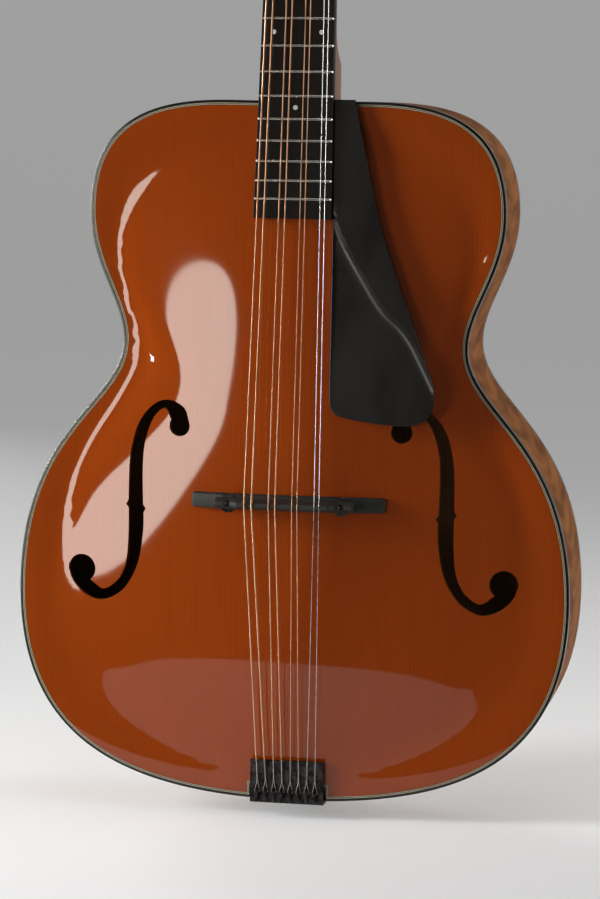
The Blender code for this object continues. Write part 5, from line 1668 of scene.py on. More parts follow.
@dataclass
class Neck(Assembly):
    """Neck with its heel and headstock, fingerboard, frets, nut and plates of ebony."""

    depth_nut: float = 0.021
    depth_heel: float = 0.025
    side_depth: float = 0.003
    side_inset: float = 0.0002
    heel_length: float = 0.050
    cap_half: float = 0.011
    cap_length: float = 0.024
    cap_thickness: float = 0.003
    heel_sweep: float = 1.8
    head_length: float = 0.128
    head_thickness: float = 0.015
    head_low: float = 0.0186
    head_wide: float = 0.033
    head_top: float = 0.030
    head_flare: float = 0.018
    head_crown: float = 0.006
    plate_thickness: float = 0.0022
    tongue_half: float = 0.0228
    tongue_flat: float = 0.026
    tongue_thickness: float = 0.0018
    tongue_short: float = 0.006
    root: tuple[tuple[float, float, float], ...] = (
        (-0.0145, 0, 2.0), (-0.0053, 2, 2.2), (0.0, 5, 2.6), (0.004, 8, 3.4), (0.008, 11, 4.8),
        (0.012, 13, 7.0), (0.016, 14, 10.0), (0.020, 14, 14.0))
    head_square: float = 16.0
    section_steps: int = 28
    plate_round: float = 0.0005
    board_edge: float = 0.0004
    fret_width: float = 0.0017
    fret_steps: int = 10
    fret_fullness: float = 0.8
    fret_tang: float = 0.0004
    fret_short: float = 0.0002
    fret_ends: tuple[Flat, ...] = ((0.0, 0.25), (0.0007, 0.95), (0.0012, 1.0))
    nut_profile: tuple[Flat, ...] = (
        (0.0003, 0.0), (0.0, 0.0003), (0.0001, 0.0018), (0.0008, 0.0038), (0.0016, 0.0047), (0.0024, 0.005))
    rod_low: float = 0.0008
    rod_length: float = 0.032
    rod_half: float = 0.008
    rod_thickness: float = 0.0015
    rod_screws: tuple[Flat, ...] = ((-0.0042, 0.0035), (0.0042, 0.0035), (0.0, 0.0275))
    rod_screw_radius: float = 0.0011
    rod_screw_height: float = 0.0005
    dot_radius: float = 0.0015
    dot_profile: tuple[Flat, ...] = ((1.0, 0.0004), (1.0, -0.00004), (0.9, -0.00006))
    single_dots: tuple[int, ...] = (3, 5, 7, 10, 15)
    double_dot: int = 12
    double_share: float = 0.328

    def build(self) -> None:
        """Builds the neck and all that is glued to it."""
        self.neck()
        self.heel_cap()
        self.fingerboard()
        self.frets()
        self.nut()
        self.headplate()
        self.rod_cover()
        self.dress_node("truss_rod", PLAIN_STEEL)

    def head_outline(self) -> list[Flat]:
        """Outline of the headstock.

        Returns:
            The points, from its treble side at the nut round to the bass side.
        """
        treble = bezier((self.head_low, 0.0), (self.head_low, self.head_flare / 2),
                        (self.head_wide, self.head_flare / 2), (self.head_wide, self.head_flare), 16)
        shoulder = self.head_length - self.head_crown
        treble += spaced([(self.head_wide, self.head_flare), (self.head_top, shoulder)], 6)[:-1]
        treble += bezier((self.head_top, shoulder), (self.head_top * 0.8, shoulder + self.head_crown * 0.6),
                         (self.head_top * 0.4, self.head_length), (0.0, self.head_length), 16)
        return treble + [(0.0, self.head_length)] + [(-x, up) for x, up in reversed(treble)]

    def head_half(self, up: float) -> float:
        """Half width of the headstock at a height up its face."""
        halves, heights = zip(*(place for place in self.head_outline() if place[0] >= 0))
        return float(np.interp(up, heights, halves))

    def heel_seat(self) -> float:
        """Plane that the heel cap sits on."""
        return LAYOUT.back(LAYOUT.top) - self.cap_thickness - LAYOUT.gap

    def heel_back(self, z: float) -> float:
        """Furthest back of the neck's round, heel included.

        Args:
            z: Height.

        Returns:
            The level along Y.
        """
        depth = self.depth_nut + (self.depth_heel - self.depth_nut) * max(0.0, z / LAYOUT.top)
        plain = LAYOUT.board(z) + depth
        start = LAYOUT.top + self.heel_length
        if z >= start:
            return plain
        share = min(1.0, (start - z) / (self.heel_length - self.cap_length))
        side = LAYOUT.under_board(z) + self.side_depth
        half = LAYOUT.board_half(z) - self.side_inset
        full = side + (self.heel_seat() - side) / sqrt(1 - (self.cap_half / half) ** 2)
        return plain + (full - plain) * share ** self.heel_sweep

    def cap_width(self, z: float) -> float:
        """Half width of the heel where it is cut flat for its cap.

        Args:
            z: Height.

        Returns:
            The half width, 0 where the heel ends before the cap's seat.
        """
        side = LAYOUT.under_board(z) + self.side_depth
        reach = (self.heel_seat() - side) / (self.heel_back(z) - side)
        return 0.0 if reach >= 1 else (LAYOUT.board_half(z) - self.side_inset) * sqrt(1 - reach ** 2)

    def neck_section(self, z: float) -> list[Point]:
        """Section of the neck, cut flat where the heel cap sits.

        Args:
            z: Height of the section.

        Returns:
            The section's points.
        """
        half = LAYOUT.board_half(z) - self.side_inset
        flat = LAYOUT.under_board(z)
        side, back, seat = flat + self.side_depth, self.heel_back(z), self.heel_seat()
        loop = [(-half, flat, z), (half, flat, z)]
        for angle in sweep(HALF_TURN, self.section_steps):
            x, y = half * cos(angle), side + (back - side) * sin(angle)
            if y > seat:
                x, y = copysign(min(abs(x), self.cap_width(z)), cos(angle)), seat
            loop.append((x, y, z))
        return loop

    def head_section(self, up: float, turn: float, squareness: float, half: float) -> list[Point]:
        """Section across the headstock or its root.

        Args:
            up: Height up the face, below 0 on the neck's side of the nut.
            turn: Angle in degrees that the section leans with the head.
            squareness: 2 for a round back, more for a square one.
            half: Half width.

        Returns:
            The section's points.
        """
        start = LAYOUT.nut_length + LAYOUT.gap
        if up >= 0:
            face = Vector(LAYOUT.head(0.0, up, 0.0))
        else:
            z = start + up
            face = Vector((0.0, LAYOUT.under_board(min(z, 0.0)), z))
        lean = radians(turn)
        into = Vector((0.0, cos(lean), -sin(lean)))
        power = 2 / squareness
        depth = self.head_thickness - self.side_depth
        loop = [tuple(face + Vector((-half, 0, 0))), tuple(face + Vector((half, 0, 0)))]
        for angle in sweep(HALF_TURN, self.section_steps):
            cosine, sine = cos(angle), max(0.0, sin(angle))
            x = half * copysign(abs(cosine) ** power, cosine)
            deep = self.side_depth + depth * sine ** power
            loop.append(tuple(face + Vector((x, 0, 0)) + into * deep))
        return loop

    def neck(self) -> None:
        """Builds neck, heel and headstock as one carved form, with the tongue under the board."""
        end = LAYOUT.top + LAYOUT.gap
        stations = list(np.linspace(-0.018, LAYOUT.top + self.heel_length, 14))
        stations += list(np.linspace(LAYOUT.top + self.heel_length, end, 30))[1:]
        loops = [self.neck_section(z) for z in reversed(stations)]
        nut_half = LAYOUT.board_half_nut - self.side_inset
        for up, turn, square in self.root:
            half = nut_half if up < 0 else self.head_half(up)
            loops.append(self.head_section(up, turn, square, half))
        lean = degrees(LAYOUT.head_angle)
        shoulder = self.head_length - self.head_crown
        for up in (*np.linspace(0.028, shoulder, 6),
                   *(shoulder + self.head_crown * (1 - cos(t)) for t in np.linspace(0.2, 1.5, 8))):
            half = max(0.001, self.head_half(float(up)) - 0.0001)
            loops.append(self.head_section(float(up), lean, self.head_square, half))
        shape = Shape().skin(loops)
        shape.prism(self.tongue_profile(), -self.tongue_half, self.tongue_half, sideways)
        self.piece(shape, "carved_neck", (NECK_WOOD,), "body", "neck", crease=40)

    def tongue_profile(self) -> list[Flat]:
        """Side view of the tongue under the fingerboard.

        Returns:
            The points as (y, z).
        """
        rest = LAYOUT.rim - LAYOUT.gap
        joint = LAYOUT.top + LAYOUT.gap
        tip = LAYOUT.board_end + self.tongue_short
        under = LAYOUT.under_board(tip)
        return [(LAYOUT.under_board(joint), joint), (under, tip), (under + self.tongue_thickness, tip),
                (rest, LAYOUT.top - self.tongue_flat), (rest, joint)]

    def heel_cap(self) -> None:
        """Builds the cap of the heel."""
        treble = [(self.cap_width(LAYOUT.top + LAYOUT.gap), LAYOUT.top + LAYOUT.gap)]
        for step in range(41):
            z = LAYOUT.top + self.cap_length + (self.heel_length - self.cap_length) * 0.5 * (step / 40) ** 2
            if self.cap_width(z) > 0:
                treble.append((self.cap_width(z), z))
        outline = treble + [(-x, z) for x, z in reversed(treble)]
        seat = self.heel_seat() + LAYOUT.gap
        shape = Shape().prism(outline, seat, seat + self.cap_thickness, front)
        self.piece(shape, "heel_cap_plate", (EBONY,), "body", "heel_cap", bevel=self.plate_round)

    def fingerboard(self) -> None:
        """Builds the fingerboard with its position dots."""
        shape = Shape()
        loops, edge = [], self.board_edge
        for z in np.linspace(-LAYOUT.gap, LAYOUT.board_end, 24):
            half, y = LAYOUT.board_half(z), LAYOUT.board(z)
            under = y + LAYOUT.board_thickness
            loops.append([(-half, under, z), (-half, y + edge, z), (-half + edge, y, z),
                          (half - edge, y, z), (half, y + edge, z), (half, under, z)])
        shape.skin(loops)
        profile = [(self.dot_radius * share, height) for share, height in self.dot_profile]
        for number in (*self.single_dots, self.double_dot):
            z = (LAYOUT.fret(number) + LAYOUT.fret(number - 1)) / 2
            shares = (-self.double_share, self.double_share) if number == self.double_dot else (0.0,)
            for share in shares:
                shape.turned(profile, 20, self.on_board(share * 2 * LAYOUT.board_half(z), z), finish=1)
        self.piece(shape, "fingerboard_with_dots", (BOARD_EBONY, PEARL), "body", "fingerboard", crease=30)

    @staticmethod
    def on_board(x: float, z: float) -> Place:
        """Places a form on the slope of the playing surface, its height growing inward."""
        level, slope = LAYOUT.board(z), tan(LAYOUT.board_angle)
        return lambda a, b, height: (x + a, level + slope * b + height, z + b)

    def frets(self) -> None:
        """Builds the frets, crowned and bevelled at their ends."""
        shape = Shape()
        slope, wide = tan(LAYOUT.board_angle), self.fret_width / 2
        for number in range(1, LAYOUT.fret_count + 1):
            z = LAYOUT.fret(number)
            half, level = LAYOUT.board_half(z) - self.fret_short, LAYOUT.board(z)
            ends = [(-half + inner, share) for inner, share in self.fret_ends]
            ends += [(half - inner, share) for inner, share in reversed(self.fret_ends)]
            loops = []
            for x, share in ends:
                loop = []
                for angle in sweep(HALF_TURN, self.fret_steps):
                    across = wide * cos(angle)
                    rise = LAYOUT.fret_height * share * sin(angle) ** self.fret_fullness
                    loop.append((x, level + slope * across - rise, z + across))
                loops.append(
                    [*loop, (x, level + self.fret_tang, z - wide), (x, level + self.fret_tang, z + wide)])
            shape.skin(loops)
        self.piece(shape, "frets", (NICKEL,), "body", crease=40)

    def nut(self) -> None:
        """Builds the nut, slotted for the strings."""
        under = LAYOUT.nut_surface + LAYOUT.board_thickness
        top = LAYOUT.board(0) - LAYOUT.nut_rise
        loops = [[(x, under, 0.0), *((x, top + drop + fall, z) for fall, z in self.nut_profile),
                  (x, under, LAYOUT.nut_length)]
                 for x, drop in notch_stations(LAYOUT.board_half_nut, STRINGS.at_nut())]
        self.piece(Shape().skin(loops), "bone_nut", (BONE,), "body", "nut", crease=50)

    def headplate(self) -> None:
        """Builds the overlay on the headstock's face."""
        outline = self.head_outline()
        shape = Shape().prism(outline, -LAYOUT.gap - self.plate_thickness, -LAYOUT.gap, LAYOUT.head)
        self.piece(shape, "headstock_overlay", (EBONY,), "body", "headplate", bevel=self.plate_round)

    def rod_cover(self) -> None:
        """Builds the truss rod cover with its screws."""
        low, length, half = self.rod_low, self.rod_length, self.rod_half
        outline = [(-half * 0.7, low), (half * 0.7, low)]
        outline += bezier((half * 0.7, low), (half, low + length * 0.35), (half * 0.3, low + length * 0.96),
                          (0.0, low + length), 20)[1:]
        outline.append((0.0, low + length))
        outline += [(-x, up) for x, up in reversed(outline[2:-1])]
        under = -(2 * LAYOUT.gap + self.plate_thickness)
        face = under - self.rod_thickness
        self.piece(Shape().prism(outline, face, under, LAYOUT.head), "rod_cover", (EBONY,), "body",
                   "truss_rod_cover", bevel=0.0004)
        screws = Shape()
        for x, up in self.rod_screws:
            slotted_head(screws, self.rod_screw_radius, self.rod_screw_height, on_head(x, up, face, -1))
        self.piece(screws, "rod_cover_screws", (NICKEL,), "body", crease=30)


def slotted_head(shape: Shape, radius: float, height: float, place: Place) -> None:
    """Adds a domed screw head with a slot, as two half domes with a gap between them.

    Args:
        shape: Shape that it is added to.
        radius: Its radius.
        height: Its height.
        place: Sets (across, across, height) in space; height grows outward.
    """
    slot = radius * 0.14
    dome = ((1.0, 0.35), (0.93, 0.62), (0.75, 0.85), (0.45, 1.0))
    shape.turned(((radius, -0.0002), (radius, height * dome[0][1])), 20, place)
    for way in (-1, 1):
        shape.skin([[place(radius * share * cos(angle),
                           max(slot, radius * share * sin(angle)) * way, height * rise)
                     for angle in sweep(HALF_TURN, 14)] for share, rise in dome])


def notch_stations(half: float, strings: Sequence[Flat]) -> list[Flat]:
    """Places across a bar with rounded notches for the strings.

    Args:
        half: Half width of the bar.
        strings: Place and radius of each string.

    Returns:
        Places across, each with how far the bar's top is cut down there.
    """
    ease, lip, depth = 1.15, 0.0002, 0.5
    places = {-half: 0.0, half: 0.0}
    for x, radius in strings:
        wide = radius * ease
        places[x - wide - lip] = 0.0
        places[x + wide + lip] = 0.0
        for angle in sweep(HALF_TURN, 8):
            places[x + wide * cos(angle)] = radius * depth * sin(angle)
    return sorted(places.items())


@dataclass(frozen=True)
class Strand:
    """One string: its name, thickness and whether it is wound."""

    name: str
    thickness: float
    wound: bool


@dataclass(frozen=True)
class StringPlan:
    """Where the eight strings run, in four courses."""

    strands: tuple[Strand, ...] = (
        Strand("g1", 0.0012, True), Strand("g2", 0.0012, True), Strand("d1", 0.0009, True),
        Strand("d2", 0.0009, True), Strand("a1", 0.0006, True), Strand("a2", 0.0006, True),
        Strand("e1", 0.0004, False), Strand("e2", 0.0004, False))
    core: float = 0.0004
    gaps_nut: tuple[float, ...] = (0.0038, 0.0034, 0.0029, 0.0027)
    gaps_saddle: tuple[float, ...] = (0.0047, 0.0042, 0.0033, 0.0031)
    spread_nut: float = 0.0329
    spread_saddle: float = 0.0479
    hook_spacing: float = 0.0054
    post_first: float = 0.030
    post_spacing: float = 0.023
    post_offset: float = 0.022

    def places(self, gaps: Sequence[float], width: float) -> list[float]:
        """Places across, with equal spaces between the courses.

        Args:
            gaps: Distance of the two strings in each course.
            width: Distance of the outer strings.

        Returns:
            One place for each string, from bass to treble.
        """
        space = (width - sum(gaps)) / (len(gaps) - 1)
        found = [-width / 2]
        for index, gap in enumerate(gaps):
            found.append(found[-1] + gap)
            if index < len(gaps) - 1:
                found.append(found[-1] + space)
        return found

    def at_nut(self) -> list[Flat]:
        """Place and radius of each string at the nut."""
        return list(zip(self.places(self.gaps_nut, self.spread_nut), self.radii()))

    def at_saddle(self) -> list[Flat]:
        """Place and radius of each string at the saddle."""
        return list(zip(self.places(self.gaps_saddle, self.spread_saddle), self.radii()))

    def radii(self) -> list[float]:
        """Radius of each string."""
        return [strand.thickness / 2 for strand in self.strands]

    def hook(self, index: int) -> float:
        """Place of a string's hook across the tailpiece."""
        return (index - (len(self.strands) - 1) / 2) * self.hook_spacing

    def post(self, index: int) -> tuple[Side, float, float]:
        """Place of a string's tuner post.

        Args:
            index: Number of the string, from the bass side.

        Returns:
            Side, place across and height up the headstock's face.
        """
        count = len(self.strands)
        side = Side.BASS if index < count // 2 else Side.TREBLE
        order = min(index, count - 1 - index)
        return side, side.value * self.post_offset, self.post_first + self.post_spacing * order


STRINGS = StringPlan()


@dataclass
class StringSet(Assembly):
    """Eight strings from their posts over nut and saddle to their hooks."""

    post_waist: float = 0.0025
    clear: float = 0.0001
    wrap_clear: float = 0.00003
    turns: int = 3
    turn_steps: int = 20
    leave_deep: float = -0.0051
    nut_fall: tuple[Flat, ...] = ((0.0034, 0.0007), (0.0024, 0.00035), (0.0012, 0.00006), (0.0, 0.0))
    speaking_steps: int = 70
    hook_level: float = 0.0054
    hook_z: float = 0.0072
    tail_steps: int = 30
    saddle_drop: Point = (0.0, 0.0001, -0.0008)
    saddle_share: float = 0.012
    core_overlap: float = 0.001
    loop_length: float = 0.006
    loop_wide: float = 0.0016
    loop_clear: float = 0.0003
    loop_start: float = 0.0004
    loop_shares: tuple[float, ...] = (0.3, 0.6, 0.85)
    loop_power: float = 1.15
    loop_round: float = 0.6
    twist_length: float = 0.0145
    twist_pitch: float = 0.0015
    twist_swing: float = 2.05
    blend_end: float = 0.029
    sides: int = 10
    crease: float = 60.0

    def build(self) -> None:
        """Builds each string in two pieces that meet on the saddle."""
        for index in range(len(STRINGS.strands)):
            self.speaking(index)
            self.afterlength(index)

    def speaking(self, index: int) -> None:
        """Builds the wraps on the post and the speaking length.

        Args:
            index: Number of the string, from the bass side.
        """
        strand = STRINGS.strands[index]
        side, post_x, post_up = STRINGS.post(index)
        (x_nut, radius), (x_saddle, _radius) = STRINGS.at_nut()[index], STRINGS.at_saddle()[index]
        wrap = self.post_waist + self.clear + radius
        away = Vector((x_nut - post_x, -LAYOUT.nut_length / 2 - post_up))
        leave = atan2(away.y, away.x) - side.value * acos(wrap / away.length)
        pitch = strand.thickness + self.wrap_clear
        path: list[Point] = []
        for step in range(self.turns * self.turn_steps, -1, -1):
            angle = leave - side.value * FULL_TURN * step / self.turn_steps
            path.append(LAYOUT.head(post_x + wrap * cos(angle), post_up + wrap * sin(angle),
                                    self.leave_deep - radius - pitch * step / self.turn_steps))
        path += [(x_nut, LAYOUT.string_axis(0.0, radius) + fall, z) for z, fall in self.nut_fall]
        for step in range(1, self.speaking_steps + 1):
            share = step / self.speaking_steps
            z = LAYOUT.bridge * share
            path.append((x_nut + (x_saddle - x_nut) * share, LAYOUT.string_axis(z, radius), z))
        made = Shape().tube(path, [radius] * len(path), self.sides).build(
            f"string_{strand.name}_speaking", (self.wire(strand),), crease=self.crease)
        self.bridge_over(made, ("body", "saddle"), (0.0, LAYOUT.bridge), f"string_{strand.name}")

    @staticmethod
    def wire(strand: Strand) -> Finish:
        """Finish of a string."""
        return BRONZE_WIRE if strand.wound else PLAIN_STEEL

    def afterlength(self, index: int) -> None:
        """Builds the length behind the saddle, its twisted wraps and its loop.

        Args:
            index: Number of the string, from the bass side.
        """
        strand = STRINGS.strands[index]
        x_saddle, radius = STRINGS.at_saddle()[index]
        x_hook, core = STRINGS.hook(index), STRINGS.core / 2
        level = LAYOUT.rim - self.hook_level
        apex = LAYOUT.bottom + self.hook_z + self.loop_length
        start = Vector((x_saddle, LAYOUT.string_axis(LAYOUT.bridge, radius), LAYOUT.bridge))
        low = Vector((x_hook, level, apex))
        top = start + (low - start) * (1 - self.twist_length / (low - start).length)
        path = [tuple(start), tuple(start + Vector(self.saddle_drop))]
        for step in range(self.tail_steps + 1):
            share = self.saddle_share + (1 - self.saddle_share) * step / self.tail_steps
            path.append(tuple(start + (top - start) * share))
        shape = Shape().tube(path, [radius] * (len(path) - 1) + [radius * 0.9], self.sides)
        along = (low - top).normalized()
        shape.tube([tuple(top - along * self.core_overlap), tuple(low)], [core, core], 8, 1)
        self.twist(shape, top, low, core)
        self.loop(shape, low, core)
        made = shape.build(f"string_{strand.name}_tail", (self.wire(strand), LOOP_STEEL), crease=self.crease)
        self.bridge_over(made, ("saddle", "body"), (LAYOUT.bridge, LAYOUT.bottom + self.blend_end),
                         f"string_{strand.name}")

    def twist(self, shape: Shape, top: Vector, low: Vector, core: float) -> None:
        """Adds the loop's end wound round the string.

        Args:
            shape: Shape that it is added to.
            top: Where the winding starts.
            low: Where it ends.
            core: Radius of the wire.
        """
        along = (low - top).normalized()
        across = Vector((1, 0, 0))
        out = along.cross(across).normalized()
        length = (low - top).length
        turns = length / self.twist_pitch
        steps = int(turns * 12)
        path = []
        for step in range(steps + 1):
            share = step / steps
            angle = FULL_TURN * turns * share
            swing = (across * cos(angle) + out * sin(angle)) * core * self.twist_swing
            path.append(tuple(top + along * length * share + swing))
        shape.tube(path, [core] * len(path), 6, 1)

    def loop(self, shape: Shape, tip: Vector, core: float) -> None:
        """Adds the loop round the hook.

        Args:
            shape: Shape that it is added to.
            tip: Where the loop leaves the twist.
            core: Radius of the wire.
        """
        x, level, apex = tip
        turn = LAYOUT.bottom + self.hook_z - self.loop_clear - core
        legs = [(self.loop_wide * share, apex + (turn - apex) * share ** self.loop_power)
                for share in self.loop_shares]
        path = [(x + core, level, apex + self.loop_start), *((x + wide, level, z) for wide, z in legs)]
        path += [(x + self.loop_wide * cos(a), level,
                  turn - self.loop_wide * self.loop_round * sin(a)) for a in sweep(HALF_TURN, 12)]
        path += [*((x - wide, level, z) for wide, z in reversed(legs)),
                 (x - core, level, apex + self.loop_start)]
        shape.tube(path, [core] * len(path), 8, 1)

    @staticmethod
    def bridge_over(piece: Piece, bodies: tuple[str, str], heights: Flat, node: str) -> None:
        """Lets a length of string follow one body at its start and the other at its end.

        Args:
            piece: The length of string.
            bodies: The two bodies; not used.
            heights: Where it leaves the first and where it reaches the second; not used.
            node: Frame node that it replaces.
        """
        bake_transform(piece)
        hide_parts(node)


@dataclass
class Tuners(Assembly):
    """Eight machine heads: plates with ears, worms with buttons, gears on posts."""

    face: float = -0.0025
    post_radius: float = 0.003
    post_waist: float = 0.0025
    post_stand: float = 0.012
    waist_length: float = 0.0078
    cap: float = 0.0016
    plate_low: float = 0.0153
    plate_high: float = 0.0165
    plate_half: float = 0.0085
    plate_turn: float = 0.005
    plate_margin: float = 0.014
    screw_inset: float = 0.0025
    screw_offset: float = 0.0055
    screw_share: float = 0.62
    screw_radius: float = 0.0016
    screw_height: float = 0.0008
    bushing: tuple[Flat, ...] = ((0.0033, 0.0002), (0.0048, 0.0002), (0.0048, -0.0005),
                                 (0.0044, -0.0011), (0.0037, -0.0014), (0.0033, -0.0012))
    gear_low: float = 0.0174
    gear_high: float = 0.0202
    gear_radius: float = 0.005
    gear_root: float = 0.0042
    teeth: int = 15
    tooth_root: float = 0.135
    tooth_tip: float = 0.06
    gear_screw_radius: float = 0.0022
    gear_screw_height: float = 0.0014
    shaft_deep: float = 0.0188
    shaft_below: float = 0.0073
    shaft_radius: float = 0.0012
    worm_half: float = 0.0036
    worm_root: float = 0.00135
    worm_crest: float = 0.002
    worm_steps: int = 48
    ear_offset: float = 0.005
    ear_half: float = 0.0027
    ear_height: float = 0.0062
    ear_plate: float = 0.0006
    ear_overlap: float = 0.0005
    shaft_out: float = 0.0012
    button_start: float = 0.015
    button_length: float = 0.014
    button_radius: float = 0.0065
    button_flat: float = 0.55
    button_seat: float = 0.0012
    button_swell: float = 2.6
    button_square: float = 0.8
    button_shares: tuple[float, ...] = (
        0.0, 0.03, 0.08, 0.16, 0.28, 0.42, 0.58, 0.72, 0.84, 0.93, 0.98, 1.0)
    collar: tuple[Flat, ...] = ((0.0019, -0.0002), (0.0023, 0.0001), (0.0023, 0.0016), (0.0019, 0.002))

    def build(self) -> None:
        """Builds plates, bushings, posts and buttons."""
        for side in Side:
            self.plate(side)
        self.bushings()
        for index, strand in enumerate(STRINGS.strands):
            self.post(index, strand.name)
            self.button(index, strand.name)

    def plate(self, side: Side) -> None:
        """Builds one plate with rounded ends, its ears and its screws.

        Args:
            side: Side of the headstock.
        """
        x = side.value * STRINGS.post_offset
        count = len(STRINGS.strands) // 2
        first = STRINGS.post_first - self.plate_margin
        last = STRINGS.post_first + (count - 1) * STRINGS.post_spacing + self.plate_margin
        last -= self.shaft_below / 2
        turn, inner = self.plate_turn, self.plate_half - self.plate_turn
        outline = []
        for cx, cz, start in ((inner, first + turn, -90), (inner, last - turn, 0),
                              (-inner, last - turn, 90), (-inner, first + turn, 180)):
            outline += arc((x + cx, cz), turn, start, start + 90, 8)
        shape = Shape().prism(outline, self.plate_low, self.plate_high, LAYOUT.head)
        low, rise = self.plate_low + self.ear_overlap, self.plate_high + self.ear_height - self.ear_half
        for order in range(count):
            up = STRINGS.post_first + STRINGS.post_spacing * order - self.shaft_below
            profile = [(up - self.ear_half, low), (up + self.ear_half, low)]
            profile += arc((up, rise), self.ear_half, 0, 180, 12)
            for ear in (x - self.ear_offset, x + self.ear_offset):
                shape.skin([[LAYOUT.head(ear + level, a, b) for a, b in profile]
                            for level in (-self.ear_plate, self.ear_plate)])
        self.piece(shape, f"tuner_plate_{side.word}_formed", (BLACK_METAL,), "body",
                   f"tuner_plate_{side.word}", bevel=0.00025)
        screws = Shape()
        places = [(0.0, first + self.screw_inset), (0.0, last - self.screw_inset)]
        places += [(side.value * self.screw_offset,
                    STRINGS.post_first + STRINGS.post_spacing * (order + self.screw_share))
                   for order in range(count - 1)]
        for off, up in places:
            slotted_head(screws, self.screw_radius, self.screw_height, on_head(x + off, up, self.plate_high))
        self.piece(screws, f"tuner_screws_{side.word}", (NICKEL,), "body", crease=30)

    def bushings(self) -> None:
        """Builds the rings round the posts on the headstock's face."""
        shape = Shape()
        for index in range(len(STRINGS.strands)):
            _side, x, up = STRINGS.post(index)
            shape.turned(self.bushing, 28, on_head(x, up, self.face), ring=True)
        self.piece(shape, "post_bushings", (NICKEL,), "body", crease=40)

    def post(self, index: int, name: str) -> None:
        """Builds one post with its gear and gear screw.

        Args:
            index: Number of its string, from the bass side.
            name: Name of its string.
        """
        _side, x, up = STRINGS.post(index)
        head = self.face - self.post_stand
        waist = head + self.cap
        foot = waist + self.waist_length
        r, thin = self.post_radius, self.post_waist
        profile = ((r * 0.35, head + 0.0001), (r * 0.8, head + 0.00015), (r * 0.97, head + 0.0005),
                   (r, head + 0.0009), (r, waist), (thin, waist + 0.0004), (thin, foot - 0.0003), (r, foot),
                   (r, self.gear_low))
        shape = Shape().turned(profile, 24, on_head(x, up))
        teeth = []
        for middle in sweep(FULL_TURN, self.teeth)[:-1]:
            for off, radius in ((-self.tooth_root, self.gear_root), (-self.tooth_tip, self.gear_radius),
                                (self.tooth_tip, self.gear_radius), (self.tooth_root, self.gear_root)):
                angle = middle + off + HALF_TURN / self.teeth
                teeth.append((x + radius * cos(angle), up + radius * sin(angle)))
        shape.prism(teeth, self.gear_low, self.gear_high, LAYOUT.head)
        slotted_head(shape, self.gear_screw_radius, self.gear_screw_height, on_head(x, up, self.gear_high))
        self.piece(shape, f"post_{name}_with_gear", (NICKEL,), f"post_{name}", f"tuner_post_{name}",
                   crease=30)

    def button(self, index: int, name: str) -> None:
        """Builds one worm shaft with its oval button.

        Args:
            index: Number of its string, from the bass side.
            name: Name of its string.
        """
        place, start = self.on_shaft(index), self.button_start
        inner = -self.ear_offset - self.shaft_out
        shape = Shape().turned(((self.shaft_radius * 0.8, inner), (self.shaft_radius, inner + 0.0003),
                                (self.shaft_radius, start)), 16, place)
        self.worm(shape, place)
        shape.turned([(radius, start + along) for radius, along in self.collar], 20, place)
        loops = []
        for share in self.button_shares:
            swell = max(0.0, 1 - abs(2 * share - 1) ** self.button_swell) ** (1 / self.button_swell)
            near, flat = share < 0.5, self.button_radius * self.button_flat
            wide = max(0.0016, self.button_radius * (0.30 + 0.70 * swell if near else swell))
            thick = max(0.0012, flat * (0.45 + 0.55 * swell if near else swell))
            along = start + self.button_seat + (self.button_length - self.button_seat) * share
            loop = []
            for angle in sweep(FULL_TURN, 28)[:-1]:
                cosine, sine = cos(angle), sin(angle)
                loop.append(place(wide * copysign(abs(cosine) ** self.button_square, cosine),
                                  thick * copysign(abs(sine) ** self.button_square, sine), along))
            loops.append(loop)
        self.piece(shape.skin(loops, 1), f"button_{name}_with_worm", (NICKEL, BLACK_METAL),
                   f"button_{name}", f"tuner_button_{name}", crease=45)

    def on_shaft(self, index: int) -> Place:
        """Places a form along a worm shaft, from its post outward.

        Args:
            index: Number of the string, from the bass side.

        Returns:
            Sets (across, across, along) in space.
        """
        side, x, up = STRINGS.post(index)
        return lambda a, b, along: LAYOUT.head(
            x + side.value * along, up - self.shaft_below + a, self.shaft_deep + b)

    def worm(self, shape: Shape, place: Place) -> None:
        """Adds a worm's thread, running out to its root at both ends.

        Args:
            shape: Shape that it is added to.
            place: Places it along the shaft.
        """
        pitch = FULL_TURN * self.gear_radius / self.teeth
        loops = []
        for step in range(self.worm_steps + 1):
            along = -self.worm_half + 2 * self.worm_half * step / self.worm_steps
            height = 0.0 if step in (0, self.worm_steps) else self.worm_crest - self.worm_root
            loop = []
            for angle in sweep(FULL_TURN, 20)[:-1]:
                crest = 0.5 + 0.5 * cos(FULL_TURN * along / pitch - angle)
                radius = self.worm_root + height * crest ** 0.8
                loop.append(place(radius * cos(angle), radius * sin(angle), along))
            loops.append(loop)
        shape.skin(loops)


